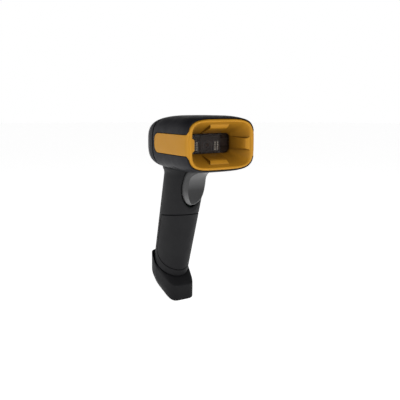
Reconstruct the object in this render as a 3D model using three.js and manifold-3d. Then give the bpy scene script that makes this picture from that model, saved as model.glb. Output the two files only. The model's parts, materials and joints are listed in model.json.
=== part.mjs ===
// Cordless hand-held barcode scanner: a wide head with a flared nose, a leaning pistol grip with a
// removable battery door, a trigger under the nose and a spurred foot that sits in a charging base.
// Millimetres. X runs across, Y towards the back, Z up.
import * as THREE from 'three';
import { mergeVertices } from 'three/addons/utils/BufferGeometryUtils.js';
import Module from 'manifold-3d';

const wasm = await Module();
wasm.setup();

// ---------------------------------------------------------------- driving dimensions
// The model is laid out from a point on the head's axis just inside the nose, then moved so that the
// origin is the flat middle of the foot's underside.
const GAP = 0.3;                     // clearance between neighbouring pieces
const WALL = 2.2;                    // moulded wall thickness
const AROUND = 28;                   // points round an outer skin
const INNER_AROUND = 20;             // points round a hidden inner skin
const BEYOND = 40;                   // reach of cutters that pass right through a piece

const HEAD_HALF_WIDTH = 32.4;        // near the nose
const HEAD_BACK_HALF_WIDTH = 31.5;   // at the rear cap seam
const HEAD_POWER = 4.1;              // squareness of the head's section at the nose
const HEAD_BACK_POWER = 3.4;         // and at the rear cap seam
const NOSE_HALF_HEIGHT = 20.8;       // black lip round the bezel
const NOSE_PINCH = 0.9;              // how much narrower the head is at that lip
const HEAD_TOP = 22.3;               // crown above the axis once the nose has swelled
const HEAD_BOTTOM = 22.9;            // keel below it
const NOSE_SWELL = 16;               // length over which the nose swells
const NOSE_FRONT = -2.6;             // bezel's front plane
const HOUSING_FRONT = -1.5;          // housing's front edge
const CAP_SEAM = 55;
const WIDTH_ROUND = { start: 53, power: 2.6 };     // where the plan rounds off at the rear
const CROWN_ROUND = { start: 31, power: 3 };       // where the crown falls
const KEEL_ROUND = { start: 44, power: 2.9 };      // where the keel rises
const HEAD_REAR = 82;
const SKIN_STATIONS = [4, 9, 16, 34];

const BEZEL_HALF_WIDTH = 30.6;
const BEZEL_HALF_HEIGHT = 19.85;
const BEZEL_POWER = 4.1;
const BEZEL_DEPTH = 4;
const LIP_ROUND = 1.2;               // rounding of the bezel's front edge
const MOUTH_HALF_WIDTH = 27.3;
const MOUTH_HALF_HEIGHT = 17.6;
const MOUTH_POWER = 4.1;             // squareness of the mouth
const MOUTH_Y = -2.2;                // where the horn starts to narrow
const WINDOW_HALF_WIDTH = 19.2;
const WINDOW_HALF_HEIGHT = 8.05;
const WINDOW_POWER = 7;
const HORN_DEPTH = 16.8;
const HORN_WALL = 1.6;
const HORN_STATIONS = [2, 6, 11];
const PAD_RISE = 2.3;                // height of the wedge pads on the horn's walls
const PAD_RAMP = 2;
const PAD_ROOT = 0.9;                // how far a pad is let into the wall
const PAD_SIDE = 0.6;                // how much each side slopes in
const SIDE_PAD = { front: -1.6, halfSpan: 5.4 };
const TOP_PAD = { front: 1.4, halfSpan: 9.2 };
const ARM_HALF_HEIGHT = 8;
const ARM_END = 52;
const ARM_THICKNESS = 1.6;
const ARM_CORNER = { length: 7, lead: 1.5, rise: 3 };      // curve of the arm's rear end
const PANE = { halfWidth: 21.8, halfHeight: 9.8, radius: 3, thickness: 1.1 };
const SEAL = { width: 1.5, thickness: 0.8 };
const WINDOW_Y = HORN_DEPTH + GAP;

const CAP_SCREW = { x: 23.6, z: 13.2, head: 60.5, tip: 46 };
const BOSS_RADIUS = 3.4;
const LIGHT = { y: 66.5, radius: 2 };
const CABLE_WAY = { y: 50, halfWidth: 12, halfLength: 7 };

const ENGINE = { front: 20.4, back: 33, halfWidth: 13.4, bottom: -8.4, top: 6.6 };
const ENGINE_NOSE = 6;               // half-width of the raised middle round the lens
const ENGINE_EAR = { y: 24.6, thickness: 1.6, half: 3 };
const ENGINE_SCREW_X = 25.2;
const ENGINE_BOSS_RADIUS = 2.6;
const LENS = { z: -1.8, radius: 3.9 };
const LED = { x: 10, z: -2.5, halfWidth: 2.6, halfHeight: 3.8, depth: 2.4, pitchX: 2.5, pitchZ: 1.9 };
const SENSOR_BOARD = { halfWidth: 12.6, halfHeight: 7, thickness: 1.2, z: -1 };
const MAIN_BOARD = { bottom: 12, thickness: 1.2, front: 24, back: 62, halfWidth: 17 };
const SHIELD_CAN = { x: -4, y: 40, half: 9, height: 2.4 };
const BEEPER = { x: 10, y: 47, radius: 5.5, height: 4.6, hole: 1.2 };

const TILT = THREE.MathUtils.degToRad(17);
const AXIS_Y = 52.9;                 // grip axis where it crosses the level AXIS_Z
const AXIS_Z = -20;
const GRIP_END = 102;                // lower end of the grip body along its axis
const GRIP_HALF_WIDTH = [17.4, 15.1];              // at the head and at the lower end
const GRIP_HALF_DEPTH = [20.4, 18.6];
const FLARE = [[-4, 2.6], [3.2, 1.8], [4.6, 0.9], [6.6, 0.3], [9.5, 0]];
const PLUG_INSET = 1.8;              // the grip's end steps in to plug into the foot
const COLLAR_LINE = 98;              // where the foot's ledge meets the grip axis
const COLLAR_SLOPE = 0.245;          // the ledge line falls towards the toe
const DOOR_TOP = 47.2;               // door's top seam on the grip axis
const DOOR_TOP_SLOPE = 0.43;         // the seam climbs towards the front
const DOOR_SIDE = -3;                // side seam, just behind the widest line
const DOOR_BOTTOM = 96.3;
const DOOR_CORNER = 11.8;            // height of the door's rounded lower corner
const DOOR_TONGUE = { halfWidth: 5, back: 5, front: 18, top: 91.4, bottom: 93.2 };
const BAY_FLOOR = 99;
const DOOR_SEAL = { outer: 0.1, inner: 1.2, behind: 1.6, ahead: 1.2, top: 56, bottom: 84 };
const FLOOR_SCREWS = { forward: 8, sideX: 9.6 };
const PACK = { halfWidth: 10.4, halfDepth: 12.6, length: 43, low: 89.6, forward: 0.6, radius: 5 };
const SPRING_CONTACT = { x: 5, halfWidth: 1.5, back: -3, front: 4, top: 43.4, low: 45.7, sheet: 0.5 };
const GRIP_BOARD = { front: 4, back: 2.8, top: 6, bottom: 43, halfWidth: 9.5 };

const TRIGGER_HALF_WIDTH = 10.2;
const TRIGGER_CENTRE = 13;           // along the grip axis
const TRIGGER_LOW = 18.4;            // from the centre to the lower end
const TRIGGER_HIGH = 24;             // from the centre to the upper end hidden by the head
const TRIGGER_LOW_POWER = 1.88;      // roundness of its lower and upper outline
const TRIGGER_HIGH_POWER = 2.2;
const TRIGGER_BACK = 10.4;           // back face, forward of the grip axis
const TRIGGER_FRONT = 21;            // shallowest point of its dished face
const TRIGGER_FLARE = { start: 7, curve: 0.065 };  // the face sweeps forward above this point
const TRIGGER_SWELL = { along: 22, height: 0.9, spread: 6 };
const TRIGGER_TAIL = { start: 25, curve: 0.045 };
const PIVOT = { forward: 12.6, along: 2.4 };
const PIN_RADIUS = 1;
const PIN_HALF = 12.4;
const PIN_EAR = { gap: 0.7, reach: 18, back: 5, front: 1.6, half: 2.6 };   // ears round the pin's ends
const SWITCH = { front: 7.8, tip: 9.2, along: 10, halfWidth: 3, bore: 1.5, bed: 1.8 };
const PLUNGER = { radius: 1.1, tail: 0.6 };
const POST_RADIUS = 1.6;             // post on the trigger's back that works the switch
const SPRING = { along: 21, radius: 2.2, wire: 0.25, turns: 3.5, seat: 0.6 };

const FOOT_ANGLE = THREE.MathUtils.degToRad(20);
const TOE_Y = 58;
const TOE_Z = -144.9;
const TOE_FACE = 8;                  // height of the toe's upright face
const RIDGE_RISE = 14.5;             // height of the toe's ridge above its bottom edge
const RIDGE_CLIMB = [0.36, 0.0136];  // slope of the ridge at the toe, and how it steepens
const TOE_POWER = 5;                 // squareness of the foot's plan at each end
const HEEL_POWER = 2.8;
const SOLE_CHAMFER = 0.7;
const SPUR_TOP = -104;
const ORIGIN_Y = 73;
// Levels of the foot in plan: half-widths at toe and heel, and where toe and heel end.
const SOLE = { toe: 12.6, heel: 12.4, front: 58.9, back: 100.5 };
const FLANK = { toe: 12, heel: 15.8, front: 58.3, back: 101.8 };
const RIDGE = { toe: 11.4, heel: 16.6, front: 57.8, back: 99.8 };
const FOOT_BOSS = 111;               // where the floor screws' heads sit, along the grip axis
const FOOT_FLOOR = 3;
const FOOT_POCKET = { halfWidth: 12.2, halfDepth: 15.2 };
const CONTACT = { y: 87.5, halfWidth: 1.1, halfLength: 1.7, height: 4.4, recess: 1 };
const CONTACT_X = [-6, -2, 2, 6];
const CHARGE_BOARD = { halfWidth: 8.5, front: 2.2, back: 3.6, thickness: 1.2 };

const SCREW_RADIUS = 1.2;
const SCREW_HEAD_RADIUS = 2.2;
const SCREW_HEAD = 1.6;
const SCREW_CHAMFER = 0.8;
const SOCKET = { radius: 0.9, depth: 0.9 };

// ---------------------------------------------------------------- materials
function finish(color, roughness, metalness = 0, opacity = 1) {
  return new THREE.MeshStandardMaterial({
    color, roughness, metalness, opacity, transparent: opacity < 1,
  });
}

const BLACK = finish(0x26262a, 0.55);
const BLACK_GRIP = finish(0x222225, 0.7);
const YELLOW = finish(0xc98c2e, 0.5);
const GREY = finish(0x5c5c5f, 0.4);
const RUBBER = finish(0x18181a, 0.85);
const DARK_GLASS = finish(0x201816, 0.1, 0, 0.35);
const CLEAR = finish(0xd8dce0, 0.1, 0, 0.5);
const BOARD = finish(0x1e5a3a, 0.6);
const STEEL = finish(0xa8a9ad, 0.35, 1);
const GOLD = finish(0xc9a24a, 0.3, 1);
const AMBER = finish(0xb06a2a, 0.6);
const CELL = finish(0x2c4a78, 0.6);

// ---------------------------------------------------------------- solids
function solid(geometry, matrix = new THREE.Matrix4()) {
  const bare = new THREE.BufferGeometry();
  bare.setAttribute('position', geometry.getAttribute('position').clone());
  const count = bare.getAttribute('position').count;
  bare.setIndex(geometry.index ? geometry.index.clone() : [...Array(count).keys()]);
  const merged = mergeVertices(bare, 1e-4).applyMatrix4(matrix);
  const index = merged.index.array;
  const triangles = [];
  for (let i = 0; i < index.length; i += 3) {
    const [a, b, c] = index.slice(i, i + 3);
    if (a !== b && b !== c && c !== a) triangles.push(a, b, c);
  }
  const make = (list) => new wasm.Manifold(new wasm.Mesh({
    numProp: 3,
    vertProperties: new Float32Array(merged.getAttribute('position').array),
    triVerts: new Uint32Array(list),
  }));
  const body = make(triangles);
  return body.volume() < 0 ? make(triangles.reverse()) : body;
}

function loft(rings) {
  const count = rings[0].length;
  const points = rings.flat();
  const ends = [rings[0], rings[rings.length - 1]].map((ring) => {
    const middle = new THREE.Vector3();
    ring.forEach((point) => middle.addScaledVector(point, 1 / count));
    return middle;
  });
  const index = [];
  for (let k = 0; k + 1 < rings.length; k += 1) {
    for (let i = 0; i < count; i += 1) {
      const a = k * count + i;
      const b = k * count + ((i + 1) % count);
      index.push(a, b, b + count, a, b + count, a + count);
    }
  }
  for (let i = 0; i < count; i += 1) {
    const j = (i + 1) % count;
    const last = (rings.length - 1) * count;
    index.push(points.length, j, i, points.length + 1, last + i, last + j);
  }
  const geometry = new THREE.BufferGeometry().setFromPoints([...points, ...ends]);
  geometry.setIndex(index);
  return solid(geometry);
}

function ring(place, count = AROUND) {
  return Array.from({ length: count }, (_, i) => place((i / count) * 2 * Math.PI));
}

function superPoint(angle, halfWidth, halfHeight, power) {
  const across = Math.cos(angle);
  const up = Math.sin(angle);
  return [
    halfWidth * Math.sign(across) * Math.abs(across) ** (2 / power),
    halfHeight * Math.sign(up) * Math.abs(up) ** (2 / power),
  ];
}

// Rounded rectangle standing across Y, as a loft ring.
function frontRing(y, halfWidth, halfHeight, power, centre = 0, count = AROUND) {
  return ring((angle) => {
    const [x, z] = superPoint(angle, halfWidth, halfHeight, power);
    return new THREE.Vector3(x, y, z + centre);
  }, count);
}

function block(low, high, matrix) {
  const size = high.map((value, i) => value - low[i]);
  const geometry = new THREE.BoxGeometry(...size);
  geometry.translate(...high.map((value, i) => (value + low[i]) / 2));
  return solid(geometry, matrix);
}

function rod(radius, from, to, sides = 12) {
  const start = new THREE.Vector3(...from);
  const end = new THREE.Vector3(...to);
  const direction = end.clone().sub(start);
  const geometry = new THREE.CylinderGeometry(radius, radius, direction.length(), sides);
  const turn = new THREE.Quaternion().setFromUnitVectors(
    new THREE.Vector3(0, 1, 0),
    direction.clone().normalize(),
  );
  const middle = start.add(end).multiplyScalar(0.5);
  return solid(geometry, new THREE.Matrix4().compose(middle, turn, new THREE.Vector3(1, 1, 1)));
}

function extrude(shape, depth, matrix, curveSegments = 8) {
  const geometry = new THREE.ExtrudeGeometry(shape, { depth, bevelEnabled: false, curveSegments });
  return solid(geometry, matrix);
}

function turned(profile, matrix, segments = 16) {
  const points = profile.map(([radius, height]) => new THREE.Vector2(radius, height));
  return solid(new THREE.LatheGeometry(points, segments), matrix);
}

// Lathe axis laid along Y, its positive end towards the back.
function alongY(x, y, z) {
  return new THREE.Matrix4().makeTranslation(x, y, z);
}

function roundedRectangle(halfWidth, halfHeight, radius) {
  const shape = new THREE.Shape();
  shape.moveTo(-halfWidth + radius, -halfHeight);
  shape.lineTo(halfWidth - radius, -halfHeight);
  shape.absarc(halfWidth - radius, -halfHeight + radius, radius, -Math.PI / 2, 0);
  shape.lineTo(halfWidth, halfHeight - radius);
  shape.absarc(halfWidth - radius, halfHeight - radius, radius, 0, Math.PI / 2);
  shape.lineTo(-halfWidth + radius, halfHeight);
  shape.absarc(-halfWidth + radius, halfHeight - radius, radius, Math.PI / 2, Math.PI);
  shape.lineTo(-halfWidth, -halfHeight + radius);
  shape.absarc(-halfWidth + radius, -halfHeight + radius, radius, Math.PI, 1.5 * Math.PI);
  return shape;
}

// A plate across Y: its outline in X and Z, extruded towards the back.
function plateAcrossY(shape, y, thickness, centre = [0, 0]) {
  const basis = new THREE.Matrix4().makeBasis(
    new THREE.Vector3(1, 0, 0),
    new THREE.Vector3(0, 0, 1),
    new THREE.Vector3(0, -1, 0),
  );
  basis.setPosition(centre[0], y + thickness, centre[1]);
  return extrude(shape, thickness, basis, 4);
}

function lerp(a, b, t) {
  return a + (b - a) * t;
}

function clamp01(value) {
  return Math.min(1, Math.max(0, value));
}

function roundOff(t, power) {
  return (1 - clamp01(t) ** power) ** (1 / power);
}

// ---------------------------------------------------------------- head surfaces
function headSection(y, inset = 0) {
  const nose = clamp01((y - HOUSING_FRONT) / NOSE_SWELL);
  const swell = nose * (2 - nose);
  const rear = HEAD_REAR - inset;
  const fall = ({ start, power }) => roundOff((y - start) / (rear - start), power);
  const pinch = NOSE_PINCH * (1 - swell);
  const width = lerp(HEAD_HALF_WIDTH, HEAD_BACK_HALF_WIDTH, y / CAP_SEAM) - pinch - inset;
  const top = (lerp(NOSE_HALF_HEIGHT, HEAD_TOP, swell) - inset) * fall(CROWN_ROUND);
  const bottom = (lerp(NOSE_HALF_HEIGHT, HEAD_BOTTOM, swell) - inset) * fall(KEEL_ROUND);
  return {
    halfWidth: width * fall(WIDTH_ROUND),
    halfHeight: (top + bottom) / 2,
    power: lerp(HEAD_POWER, HEAD_BACK_POWER, clamp01(y / CAP_SEAM)),
    centre: (top - bottom) / 2,
  };
}

function headRing(y, inset, count) {
  const { halfWidth, halfHeight, power, centre } = headSection(y, inset);
  return frontRing(y, halfWidth, halfHeight, power, centre, count);
}

// Solid between two stations of the head's skin, drawn in by inset.
function headBlock(from, to, inset = 0) {
  const reach = Math.min(to, HEAD_REAR - inset - 0.4);
  const hidden = inset > 1;
  const straight = [...SKIN_STATIONS.slice(hidden ? 2 : 0), KEEL_ROUND.start];
  const stations = [from, ...straight.filter((y) => y > from && y < reach - 1)];
  const bend = Math.max(from, KEEL_ROUND.start);
  const steps = hidden ? 4 : 6;
  for (let k = 1; k <= steps; k += 1) {
    const y = bend + (reach - bend) * Math.sin((k / steps) * (Math.PI / 2));
    if (y > stations[stations.length - 1] + 0.05) stations.push(y);
  }
  return loft(stations.map((y) => headRing(y, inset, hidden ? INNER_AROUND : AROUND)));
}

// ---------------------------------------------------------------- grip surfaces
// Side-view matrix: first coordinate forward of the grip axis, second down along it, third across.
const FORWARD = new THREE.Vector3(0, -Math.cos(TILT), -Math.sin(TILT));
const DOWN = new THREE.Vector3(0, Math.sin(TILT), -Math.cos(TILT));
const ACROSS = new THREE.Vector3(1, 0, 0);
const SIDE_VIEW = new THREE.Matrix4().makeBasis(FORWARD, DOWN, ACROSS).setPosition(0, AXIS_Y, AXIS_Z);

function sidePlane(x) {
  return SIDE_VIEW.clone().multiply(new THREE.Matrix4().makeTranslation(0, 0, x));
}

function onGrip(x, forward, along) {
  return new THREE.Vector3(forward, along, x).applyMatrix4(SIDE_VIEW);
}

function gripRod(radius, x, forward, from, to, sides = 12) {
  return rod(
    radius,
    onGrip(x, forward, from).toArray(),
    onGrip(x, forward, to).toArray(),
    sides,
  );
}

// A box given by its lowest and highest x, forward and along values.
function gripBlock(low, high) {
  return block([low[1], low[2], low[0]], [high[1], high[2], high[0]], SIDE_VIEW);
}

function gripHalfWidth(along) {
  return lerp(...GRIP_HALF_WIDTH, clamp01(along / GRIP_END));
}

function gripHalfDepth(along) {
  return lerp(...GRIP_HALF_DEPTH, clamp01(along / GRIP_END));
}

function gripRing(along, lean, spread, count) {
  return ring((angle) => {
    const forward = -(gripHalfDepth(along) + spread) * Math.sin(angle);
    const x = (gripHalfWidth(along) + spread) * Math.cos(angle);
    return onGrip(x, forward, along - lean * forward);
  }, count);
}

// The grip's skin, spread outwards. Its upper rings lie level and flare under the head, the lower
// ones stand square to the grip axis.
function gripBlockLoft(spread, end) {
  const level = Math.tan(TILT);
  const count = spread < -1 ? INNER_AROUND : AROUND;
  const rings = FLARE.map(([along, extra]) => gripRing(along, level, spread + extra, count));
  [[16, 0.7], [26, 0.3], [38, 0]].forEach(([along, share]) => {
    if (along < end - 1) rings.push(gripRing(along, level * share, spread, count));
  });
  rings.push(gripRing(end, 0, spread, count));
  return loft(rings);
}

// Everything past the line where the foot's ledge crosses the grip, seen from the side.
function belowCollar(margin) {
  const shape = new THREE.Shape();
  const line = (forward) => COLLAR_LINE + margin + COLLAR_SLOPE * forward;
  shape.moveTo(-BEYOND, line(-BEYOND));
  shape.lineTo(BEYOND, line(BEYOND));
  shape.lineTo(BEYOND, line(BEYOND) + BEYOND);
  shape.lineTo(-BEYOND, line(BEYOND) + BEYOND);
  return extrude(shape, 2 * BEYOND, sidePlane(-BEYOND));
}

// Outer shape of the grip with the narrower plug that the foot closes over.
function gripSkin(margin = 0) {
  const upper = gripBlockLoft(margin, GRIP_END + 2).subtract(belowCollar(margin));
  return upper.add(gripBlockLoft(margin - PLUG_INSET, GRIP_END + margin));
}

// The door's outline seen from the side, grown by a margin, extruded right across the grip.
function doorPrism(margin) {
  const shape = new THREE.Shape();
  const side = DOOR_SIDE - margin;
  const low = DOOR_BOTTOM + margin;
  shape.moveTo(side, DOOR_TOP - DOOR_TOP_SLOPE * side - margin);
  shape.lineTo(BEYOND, DOOR_TOP - DOOR_TOP_SLOPE * BEYOND - margin);
  shape.lineTo(BEYOND, low);
  shape.lineTo(20, low);
  shape.quadraticCurveTo(side + 1, low - DOOR_CORNER / 2, side, low - DOOR_CORNER);
  return extrude(shape, 2 * BEYOND, sidePlane(-BEYOND), 10);
}

// ---------------------------------------------------------------- head pieces
function armOutline(margin) {
  const shape = new THREE.Shape();
  const half = ARM_HALF_HEIGHT + margin;
  const end = ARM_END + margin;
  const start = NOSE_FRONT - 1;
  shape.moveTo(start, -half);
  const { length, lead, rise } = ARM_CORNER;
  shape.lineTo(end - length, -half);
  shape.bezierCurveTo(end - lead, -half, end, -half + rise, end, 0);
  shape.bezierCurveTo(end, half - rise, end - lead, half, end - length, half);
  shape.lineTo(start, half);
  return shape;
}

// The outline in Y and Z, extruded along X over both sides of the head.
function armPrism(margin) {
  const basis = new THREE.Matrix4().makeBasis(
    new THREE.Vector3(0, 1, 0),
    new THREE.Vector3(0, 0, 1),
    new THREE.Vector3(1, 0, 0),
  );
  basis.setPosition(-BEYOND, 0, 0);
  return extrude(armOutline(margin), 2 * BEYOND, basis, 6);
}

const CORNERS = [[1, 1], [-1, 1], [-1, -1], [1, -1]];

function headHousing() {
  let body = headBlock(HOUSING_FRONT, CAP_SEAM - GAP / 2);
  body = body.subtract(headBlock(BEZEL_DEPTH + 1.5, CAP_SEAM + 4, WALL));
  body = body.subtract(loft([
    frontRing(NOSE_FRONT, BEZEL_HALF_WIDTH + GAP, BEZEL_HALF_HEIGHT + GAP, BEZEL_POWER),
    frontRing(BEZEL_DEPTH + 1.6, BEZEL_HALF_WIDTH + GAP, BEZEL_HALF_HEIGHT + GAP, BEZEL_POWER),
  ]));
  const pocket = headBlock(NOSE_FRONT - 2, CAP_SEAM + 4, -2).subtract(
    headBlock(NOSE_FRONT - 3, CAP_SEAM + 5, ARM_THICKNESS + GAP),
  );
  body = body.subtract(pocket.intersect(armPrism(GAP)));
  const bosses = CORNERS.map(([side, up]) => rod(
    BOSS_RADIUS,
    [side * CAP_SCREW.x, CAP_SCREW.tip - 3, up * CAP_SCREW.z],
    [side * CAP_SCREW.x, CAP_SEAM - GAP / 2, up * CAP_SCREW.z],
  ));
  const inside = headBlock(HOUSING_FRONT, CAP_SEAM - GAP / 2, 0.6);
  bosses.forEach((boss) => {
    body = body.add(boss.intersect(inside));
  });
  CORNERS.forEach(([side, up]) => {
    body = body.subtract(rod(
      SCREW_RADIUS + GAP,
      [side * CAP_SCREW.x, CAP_SCREW.tip - GAP, up * CAP_SCREW.z],
      [side * CAP_SCREW.x, CAP_SEAM + 1, up * CAP_SCREW.z],
      12,
    ));
  });
  // Cable way down into the grip.
  const { y, halfWidth, halfLength } = CABLE_WAY;
  const mouth = ring((angle) => (
    new THREE.Vector3(halfWidth * Math.cos(angle), y + halfLength * Math.sin(angle), -30)
  ), 20);
  return body.subtract(loft([mouth, mouth.map((point) => point.clone().setZ(-15))]));
}

function rearCap() {
  let body = headBlock(CAP_SEAM + GAP / 2, HEAD_REAR);
  body = body.subtract(headBlock(CAP_SEAM - 4, HEAD_REAR, WALL));
  const skin = headBlock(CAP_SEAM + GAP / 2, HEAD_REAR, 0.5);
  CORNERS.forEach(([side, up]) => {
    const x = side * CAP_SCREW.x;
    const z = up * CAP_SCREW.z;
    body = body.add(rod(BOSS_RADIUS, [x, CAP_SEAM + GAP / 2, z], [x, HEAD_REAR, z]).intersect(skin));
  });
  CORNERS.forEach(([side, up]) => {
    const x = side * CAP_SCREW.x;
    const z = up * CAP_SCREW.z;
    body = body.subtract(rod(SCREW_RADIUS + GAP, [x, CAP_SEAM - 1, z], [x, HEAD_REAR, z], 12));
    body = body.subtract(rod(SCREW_HEAD_RADIUS + GAP, [x, CAP_SCREW.head - GAP, z], [x, HEAD_REAR + 2, z]));
  });
  return body.subtract(rod(LIGHT.radius + GAP, [0, LIGHT.y, 8], [0, LIGHT.y, 30]));
}

function statusLight() {
  const rodSolid = rod(LIGHT.radius, [0, LIGHT.y, 15], [0, LIGHT.y, 30]);
  return rodSolid.intersect(headBlock(CAP_SEAM, HEAD_REAR, 0.1));
}

// A pan-head screw with a round socket: its head's top at from, its tip a length further on.
function screw(from, towards, length) {
  const start = new THREE.Vector3(...from);
  const direction = new THREE.Vector3(...towards).normalize();
  const turn = new THREE.Quaternion().setFromUnitVectors(new THREE.Vector3(0, 1, 0), direction);
  const place = new THREE.Matrix4().compose(start, turn, new THREE.Vector3(1, 1, 1));
  return turned([
    [0, SOCKET.depth],
    [SOCKET.radius, SOCKET.depth],
    [SOCKET.radius, 0],
    [SCREW_HEAD_RADIUS - 0.4, 0],
    [SCREW_HEAD_RADIUS, 0.5],
    [SCREW_HEAD_RADIUS, SCREW_HEAD],
    [SCREW_RADIUS, SCREW_HEAD],
    [SCREW_RADIUS, length - SCREW_CHAMFER],
    [SCREW_RADIUS - SCREW_CHAMFER, length],
    [0, length],
  ], place, 8);
}

function capScrew([side, up]) {
  const length = CAP_SCREW.head - CAP_SCREW.tip;
  const from = [side * CAP_SCREW.x, CAP_SCREW.head + SCREW_HEAD, up * CAP_SCREW.z];
  return screw(from, [0, -1, 0], length + SCREW_HEAD);
}

// ---------------------------------------------------------------- bezel and window
function hornSection(y) {
  const t = clamp01((y - MOUTH_Y) / (HORN_DEPTH - MOUTH_Y));
  return {
    halfWidth: lerp(MOUTH_HALF_WIDTH, WINDOW_HALF_WIDTH, t),
    halfHeight: lerp(MOUTH_HALF_HEIGHT, WINDOW_HALF_HEIGHT, t),
    power: lerp(MOUTH_POWER, WINDOW_POWER, t),
  };
}

function hornRings(grow, front, back) {
  return [front, MOUTH_Y, ...HORN_STATIONS, back].filter((y) => y >= front).map((y) => {
    const { halfWidth, halfHeight, power } = hornSection(y);
    return frontRing(y, halfWidth + grow, halfHeight + grow, power);
  });
}

// Wedge pad on a horn wall: steep just inside the mouth, fading out at the window.
function pad([across, up], { front, halfSpan }) {
  const wall = (y) => (across !== 0 ? hornSection(y).halfWidth : hornSection(y).halfHeight);
  const corner = (y, reach, span) => new THREE.Vector3(
    across * reach + up * span,
    y,
    up * reach + across * span,
  );
  const face = (y, rise) => [
    corner(y, wall(y) + PAD_ROOT, -halfSpan),
    corner(y, wall(y) + PAD_ROOT, halfSpan),
    corner(y, wall(y) - rise, halfSpan - PAD_SIDE),
    corner(y, wall(y) - rise, -halfSpan + PAD_SIDE),
  ];
  return loft([
    face(front, PAD_RISE * 0.3),
    face(front + PAD_RAMP, PAD_RISE),
    face(HORN_DEPTH - 0.4, 0.05),
  ]);
}

function bezel() {
  const outline = (y, inset) => (
    frontRing(y, BEZEL_HALF_WIDTH - inset, BEZEL_HALF_HEIGHT - inset, BEZEL_POWER)
  );
  let body = loft([
    outline(NOSE_FRONT, LIP_ROUND),
    outline(NOSE_FRONT + LIP_ROUND * 0.3, LIP_ROUND * 0.3),
    outline(NOSE_FRONT + LIP_ROUND, 0),
    outline(BEZEL_DEPTH, 0),
  ]);
  body = body.add(loft(hornRings(HORN_WALL, MOUTH_Y, HORN_DEPTH)));
  const skin = headBlock(HOUSING_FRONT - 0.6, CAP_SEAM, 0).subtract(
    headBlock(NOSE_FRONT - 1, CAP_SEAM + 1, ARM_THICKNESS),
  );
  body = body.add(skin.intersect(armPrism(0)));
  const sides = [-1, 1].map((side) => side * ENGINE_SCREW_X);
  sides.forEach((x) => {
    body = body.add(rod(ENGINE_BOSS_RADIUS, [x, HORN_DEPTH / 2, 0], [x, ENGINE_EAR.y, 0]));
  });
  body = body.subtract(loft(hornRings(0, NOSE_FRONT - 1, HORN_DEPTH + 1)));
  [[1, 0], [-1, 0]].forEach((direction) => {
    body = body.add(pad(direction, SIDE_PAD));
  });
  [[0, 1], [0, -1]].forEach((direction) => {
    body = body.add(pad(direction, TOP_PAD));
  });
  sides.forEach((x) => {
    body = body.subtract(rod(SCREW_RADIUS + GAP, [x, HORN_DEPTH, 0], [x, ENGINE_EAR.y + 1, 0]));
  });
  return body;
}

function windowSeal() {
  const { halfWidth, halfHeight, radius } = PANE;
  const { width, thickness } = SEAL;
  const inner = roundedRectangle(halfWidth - width, halfHeight - width, radius - 0.4);
  return plateAcrossY(roundedRectangle(halfWidth, halfHeight, radius), WINDOW_Y, thickness)
    .subtract(plateAcrossY(inner, WINDOW_Y - 1, thickness + 2));
}

function windowPane() {
  const outline = roundedRectangle(PANE.halfWidth, PANE.halfHeight, PANE.radius);
  return plateAcrossY(outline, WINDOW_Y + SEAL.thickness + GAP, PANE.thickness);
}

// ---------------------------------------------------------------- imaging engine
function engineChassis() {
  const { front, back, halfWidth, bottom, top } = ENGINE;
  const earBack = ENGINE_EAR.y + GAP + ENGINE_EAR.thickness;
  const earEnd = ENGINE_SCREW_X + ENGINE_EAR.half;
  let body = block([-halfWidth, front + 1, bottom], [halfWidth, back, top]);
  body = body.add(block([-ENGINE_NOSE, front, bottom], [ENGINE_NOSE, front + 2, top]));
  body = body.add(block(
    [-earEnd, ENGINE_EAR.y + GAP, -ENGINE_EAR.half],
    [earEnd, earBack, ENGINE_EAR.half],
  ));
  body = body.subtract(rod(LENS.radius + GAP, [0, front - 1, LENS.z], [0, front + 9, LENS.z], 24));
  const ledWay = [LED.halfWidth + GAP, LED.halfHeight + GAP];
  [-1, 1].forEach((side) => {
    const x = side * LED.x;
    body = body.subtract(block(
      [x - ledWay[0], front - 1, LED.z - ledWay[1]],
      [x + ledWay[0], front + 4, LED.z + ledWay[1]],
    ));
    body = body.subtract(rod(
      SCREW_RADIUS + GAP,
      [side * ENGINE_SCREW_X, front, 0],
      [side * ENGINE_SCREW_X, back, 0],
    ));
  });
  return body;
}

function lensBarrel() {
  const radius = LENS.radius;
  return turned([
    [1.7, 0.4],
    [2.6, 0],
    [radius - 0.3, 0],
    [radius, 0.3],
    [radius, 8.4],
    [2.9, 8.4],
    [2.9, 2],
    [1.7, 1],
    [1.7, 0.4],
  ], alongY(0, ENGINE.front - 0.2, LENS.z));
}

function lensGlass() {
  return turned([
    [0, 0],
    [1.3, 0.3],
    [2.3, 1],
    [2.5, 1.3],
    [2.5, 3],
    [0, 3.8],
  ], alongY(0, ENGINE.front + 2.2, LENS.z), 12);
}

// A tile of small domes, four down and two across, on one base.
function ledLens(side) {
  const x = side * LED.x;
  const face = ENGINE.front + 1.2;
  let body = block(
    [x - LED.halfWidth, face, LED.z - LED.halfHeight],
    [x + LED.halfWidth, face + LED.depth, LED.z + LED.halfHeight],
  );
  for (let row = 0; row < 4; row += 1) {
    for (let column = 0; column < 2; column += 1) {
      const middle = [x + (column - 0.5) * LED.pitchX, face + 0.4, LED.z + (row - 1.5) * LED.pitchZ];
      const dome = turned([[0, -1.1], [0.7, -0.8], [0.9, 0], [0, 0]], alongY(...middle), 6);
      body = body.add(dome);
    }
  }
  return body;
}

function sensorBoard() {
  const { halfWidth, halfHeight, thickness, z } = SENSOR_BOARD;
  return plateAcrossY(roundedRectangle(halfWidth, halfHeight, 1), ENGINE.back + GAP, thickness, [0, z]);
}

function engineScrew(side) {
  const seat = ENGINE_EAR.y + GAP + ENGINE_EAR.thickness;
  return screw([side * ENGINE_SCREW_X, seat + GAP + SCREW_HEAD, 0], [0, -1, 0], 8);
}

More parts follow.
